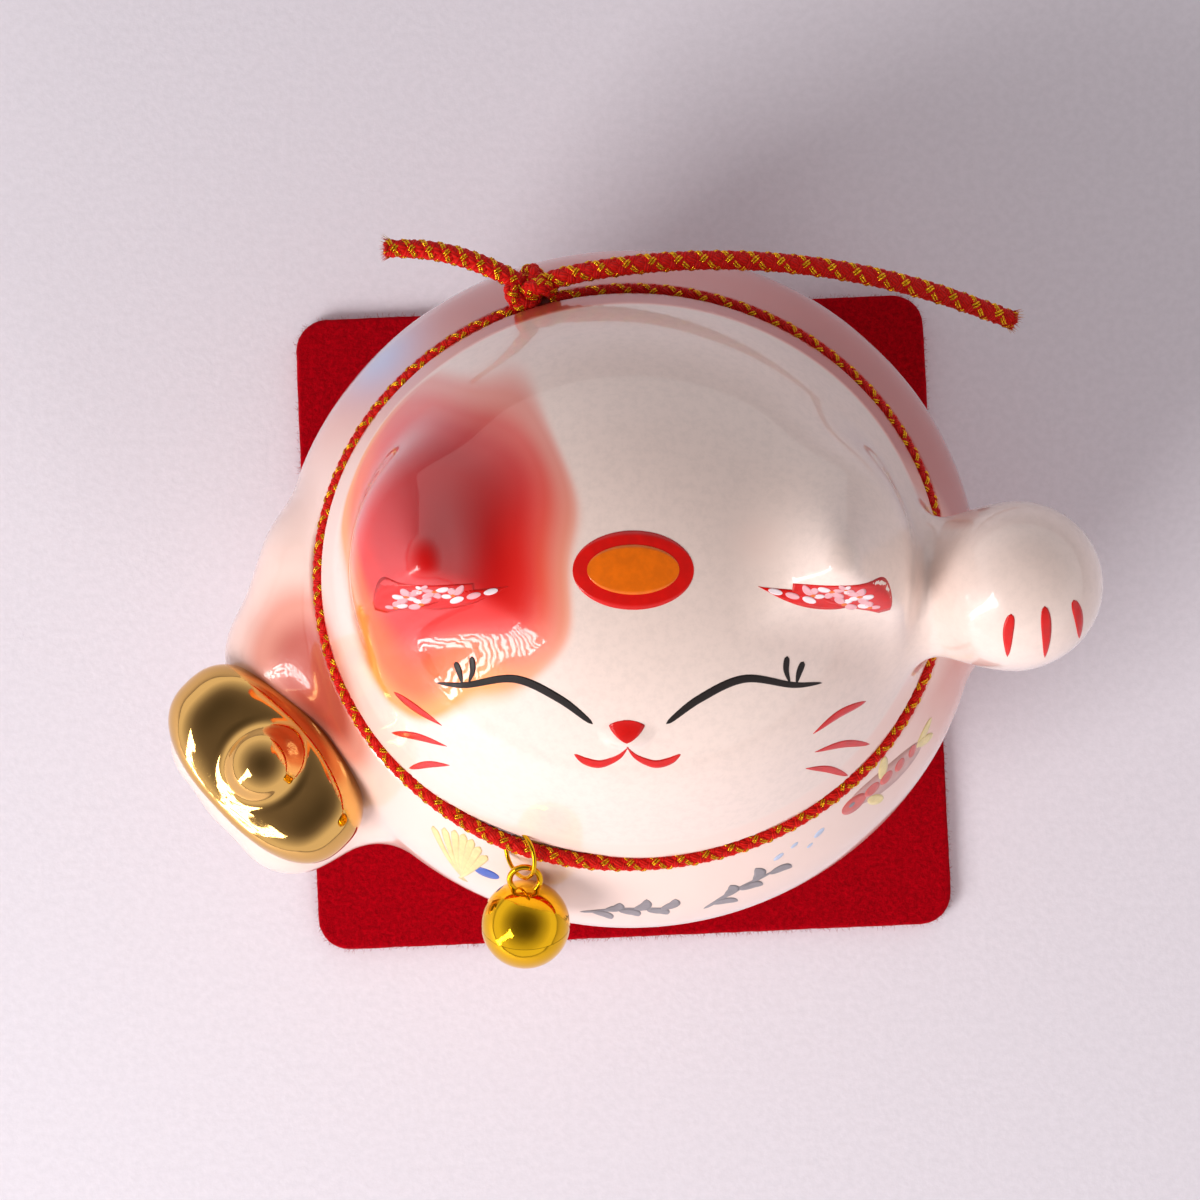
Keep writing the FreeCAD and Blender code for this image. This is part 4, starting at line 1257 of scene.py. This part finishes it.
class CAT_OT_felt_mat(bpy.types.Operator):
    """Square mat of red felt with its stray fibres"""

    bl_idname = "cat.felt_mat"
    bl_label = "Felt Mat"

    def execute(self, context):
        settings = context.scene.cat_settings
        felt = felt_material(tuple(settings.felt))
        angle = np.linspace(0, 2 * math.pi, MAT_ROUND, endpoint=False)
        shares = 1 - np.linspace(0, 1, 70)[::-1] * 0.999
        edge = [(0.55, 2.0), (0.28, 1.93), (0.08, 1.72), (0.0, 1.35), (0.0, 0.7), (0.1, 0.28), (0.35, 0.05),
                (0.8, 0.0)]
        rings = [np.column_stack([mat_ring(angle, 0.9, s), np.full(MAT_ROUND, MAT_THICKNESS)]) for s in shares]
        rings += [np.column_stack([mat_ring(angle, inset), np.full(MAT_ROUND, z)]) for inset, z in edge]
        points = np.array(rings)
        lumps = felt_lumps(points[..., 0], points[..., 1])
        points[..., 2] += np.where(points[..., 2] > 1.2, lumps * 0.16 - 0.05, 0)
        side = (points[..., 2] < 1.9) & (points[..., 2] > 0.2)
        away = points[..., :2] - MAT_SHIFT
        points[..., :2] -= np.where(side[..., None], unit(away) * (0.1 + 0.12 * lumps[..., None]), 0)
        faces = closed_grid(len(rings), MAT_ROUND)
        mat = piece("felt_square", points, faces, felt, "figurine")
        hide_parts("felt_mat")
        random = np.random.default_rng(5)
        count = settings.mat_fibres
        thin = 0.016
        at = random.uniform(0, 2 * math.pi, count)
        on_edge = random.uniform(0, 1, count) < 0.45
        share = np.where(on_edge, 1.0, np.sqrt(random.uniform(0.1, 1, count)) * 0.99)
        root = np.column_stack([mat_ring(at, 0.12), np.where(on_edge, random.uniform(0.3, 1.9, count), 1.9)])
        root[:, :2] = (root[:, :2] - MAT_SHIFT) * share[:, None] + MAT_SHIFT
        out = unit(np.column_stack([root[:, :2] - MAT_SHIFT, np.zeros(count)]))
        lean = random.normal(0, 1, (count, 3)) * 0.9
        way = unit(np.where(on_edge[:, None], out * 0.9, UP * 0.25) + lean * np.array([1, 1, 0.25]))
        length = random.uniform(0.25, 0.9, count)[:, None]
        middle = root + way * length * 0.55 + random.normal(0, 0.07, (count, 3))
        tip = root + way * length + random.normal(0, 0.12, (count, 3))
        side = unit(np.cross(way, UP + 0.01)) * thin
        ups = unit(np.cross(side, way)) * thin
        rows = [root + side, root - side, root + ups,
                middle + side * 0.8, middle - side * 0.8, middle + ups * 0.8, tip]
        fibre = np.stack(rows, 1)
        fibre[..., 2] = np.maximum(fibre[..., 2], 0.02)
        first = np.arange(count)[:, None, None] * 7
        quads = first + np.array([[0, 1, 4, 3], [1, 2, 5, 4], [2, 0, 3, 5]])
        corners = first + np.array([[3, 4, 6], [4, 5, 6], [5, 3, 6], [0, 2, 1]])
        faces = quads.reshape(-1, 4).tolist() + corners.reshape(-1, 3).tolist()
        fibres = piece("felt_fibres", fibre, faces, felt, "figurine")
        return {"FINISHED"}


# ---------------------------------------------------------------- table, light and camera

def area_light(name, place, aim, size, power, colour):
    """A soft rectangular light that points at a place and leaves no glint; sizes in metres."""
    light = bpy.data.lights.new(name, "AREA")
    light.shape = "RECTANGLE"
    light.size, light.size_y = size
    light.energy = power
    light.color = colour
    obj = bpy.data.objects.new(name, light)
    bpy.context.scene.collection.objects.link(obj)
    obj.location = place
    way = Vector(aim) - Vector(place)
    obj.rotation_euler = way.to_track_quat("-Z", "Y").to_euler()
    obj.visible_glossy = False


def curtain_card():
    """A tall lit window behind a lace curtain, seen only as a reflection in the glaze and the gold.

    It stands on an arc round the cat: angle in plan across, height up. Both edges spread towards
    the top, left = -58 - 15 (height / top)^3 and right = -50.5 + 5.5 clip((height - 430) / 120).
    """
    height = np.linspace(20, CURTAIN_TOP, 22)[:, None]
    left = -58 - 15 * (height / CURTAIN_TOP) ** 3
    right = -50.5 + 5.5 * np.clip((height - 430) / 120, 0, 1)
    angle = np.radians(left + (right - left) * np.linspace(0, 1, 9)[None])
    place = np.stack(np.broadcast_arrays(
        CURTAIN_AWAY * np.sin(angle), -CURTAIN_AWAY * np.cos(angle), height), -1)
    material = bpy.data.materials.new("curtain_glow")
    material.use_nodes = True
    nodes, links = material.node_tree.nodes, material.node_tree.links
    nodes.remove(nodes["Principled BSDF"])
    glow = node(nodes, "ShaderNodeEmission", in_Strength=CURTAIN_GLOW)
    spot = own_place(nodes)
    lace = node(nodes, "ShaderNodeTexWave", wave_type="RINGS", in_Scale=9.0, in_Distortion=14.0,
                in_Detail=2.0, in_Detail_Scale=1.2)
    links.new(spot, lace.inputs["Vector"])
    threads = ramp(nodes, links, lace.outputs["Fac"], [(0.3, (0.06, 0.05, 0.05)), (0.5, (1.0, 0.98, 0.96))])
    links.new(threads, glow.inputs["Color"])
    links.new(glow.outputs[0], nodes["Material Output"].inputs["Surface"])
    card = piece("curtain_card", place, grid_quads(22, 9), material)
    card.visible_camera = False
    card.visible_diffuse = False
    card.visible_shadow = False


class CAT_OT_table_and_light(bpy.types.Operator):
    """Pale table top, soft light from the front left and the camera above"""

    bl_idname = "cat.table_and_light"
    bl_label = "Table, Light and Camera"

    def execute(self, context):
        settings = context.scene.cat_settings
        scene = context.scene
        material, nodes, links, shader = principled(
            "table_paper", tuple(settings.floor), 0.9, Specular_IOR_Level=0.2)
        place = own_place(nodes)
        grain = noise(nodes, links, place, 900.0, 4.0, 0.6)
        tone = ramp(nodes, links, grain, [(0.3, shade(settings.floor, 0.95)), (0.7, tuple(settings.floor))])
        links.new(tone, shader.inputs["Base Color"])
        bump(nodes, links, shader, grain, 0.25, 0.0002)
        corners = TABLE_HALF / MM * np.array([(-1, -1, 0), (1, -1, 0), (1, 1, 0), (-1, 1, 0)])
        table = piece("table_top", corners - [0, 0, 0.02], [[0, 1, 2, 3]], material)
        middle = (0, -0.004, 0.045)
        area_light("window_light", (-0.50, -0.42, 0.42), middle, (0.34, 0.40), settings.window_power,
                   (1.0, 0.975, 0.975))
        area_light("front_fill", (0.35, -0.75, 0.45), middle, (0.25, 0.2), FILL_POWER, (1.0, 0.97, 0.96))
        curtain_card()
        world = bpy.data.worlds.new("soft_room")
        scene.world = world
        world.use_nodes = True
        nodes, links = world.node_tree.nodes, world.node_tree.links
        way = nodes.new("ShaderNodeTexCoord").outputs["Generated"]
        split = nodes.new("ShaderNodeSeparateXYZ")
        links.new(way, split.inputs[0])
        sky = ramp(nodes, links, split.outputs["Z"], [
            (0.0, (1.0, 0.97, 1.0)), (0.3, (0.98, 0.95, 0.98)), (0.62, (0.52, 0.5, 0.52)),
            (0.86, (0.2, 0.18, 0.19)), (1.0, (0.1, 0.09, 0.09))], "LINEAR")
        background = nodes["Background"]
        links.new(sky, background.inputs["Color"])
        background.inputs["Strength"].default_value = ROOM_STRENGTH
        camera = bpy.data.cameras.new("camera_above")
        camera.lens = CAMERA_LENS
        camera.sensor_width = 36.0
        holder = bpy.data.objects.new("camera_above", camera)
        scene.collection.objects.link(holder)
        holder.location = CAMERA_PLACE
        holder.rotation_euler = (CAMERA_TILT, 0, 0)
        scene.camera = holder
        scene.view_settings.view_transform = "Standard"
        return {"FINISHED"}


# ---------------------------------------------------------------- panel

class CAT_PT_panel(bpy.types.Panel):
    """Sidebar panel with the settings and one button for each group of pieces"""

    bl_idname = "CAT_PT_panel"
    bl_label = "Cat Figurine"
    bl_space_type = "VIEW_3D"
    bl_region_type = "UI"
    bl_category = "Cat Figurine"

    def draw(self, context):
        for name in CatSettings.__annotations__:
            self.layout.prop(context.scene.cat_settings, name)
        for operator in OPERATORS:
            self.layout.operator(operator.bl_idname)


OPERATORS = (
    CAT_OT_glazed_skin, CAT_OT_painted_marks, CAT_OT_gold_ingot, CAT_OT_neck_cord, CAT_OT_bell,
    CAT_OT_felt_mat, CAT_OT_table_and_light,
)


def register():
    """Registers the settings, the operators and the panel."""
    for item in (CatSettings, *OPERATORS, CAT_PT_panel):
        bpy.utils.register_class(item)
    bpy.types.Scene.cat_settings = bpy.props.PointerProperty(type=CatSettings)


def unregister():
    """Takes them away again."""
    del bpy.types.Scene.cat_settings
    for item in reversed((CatSettings, *OPERATORS, CAT_PT_panel)):
        bpy.utils.unregister_class(item)


def main():
    """Builds everything in order."""
    register()
    for operator in OPERATORS:
        group, name = operator.bl_idname.split(".")
        getattr(getattr(bpy.ops, group), name)()


if __name__ == "__main__":
    main()
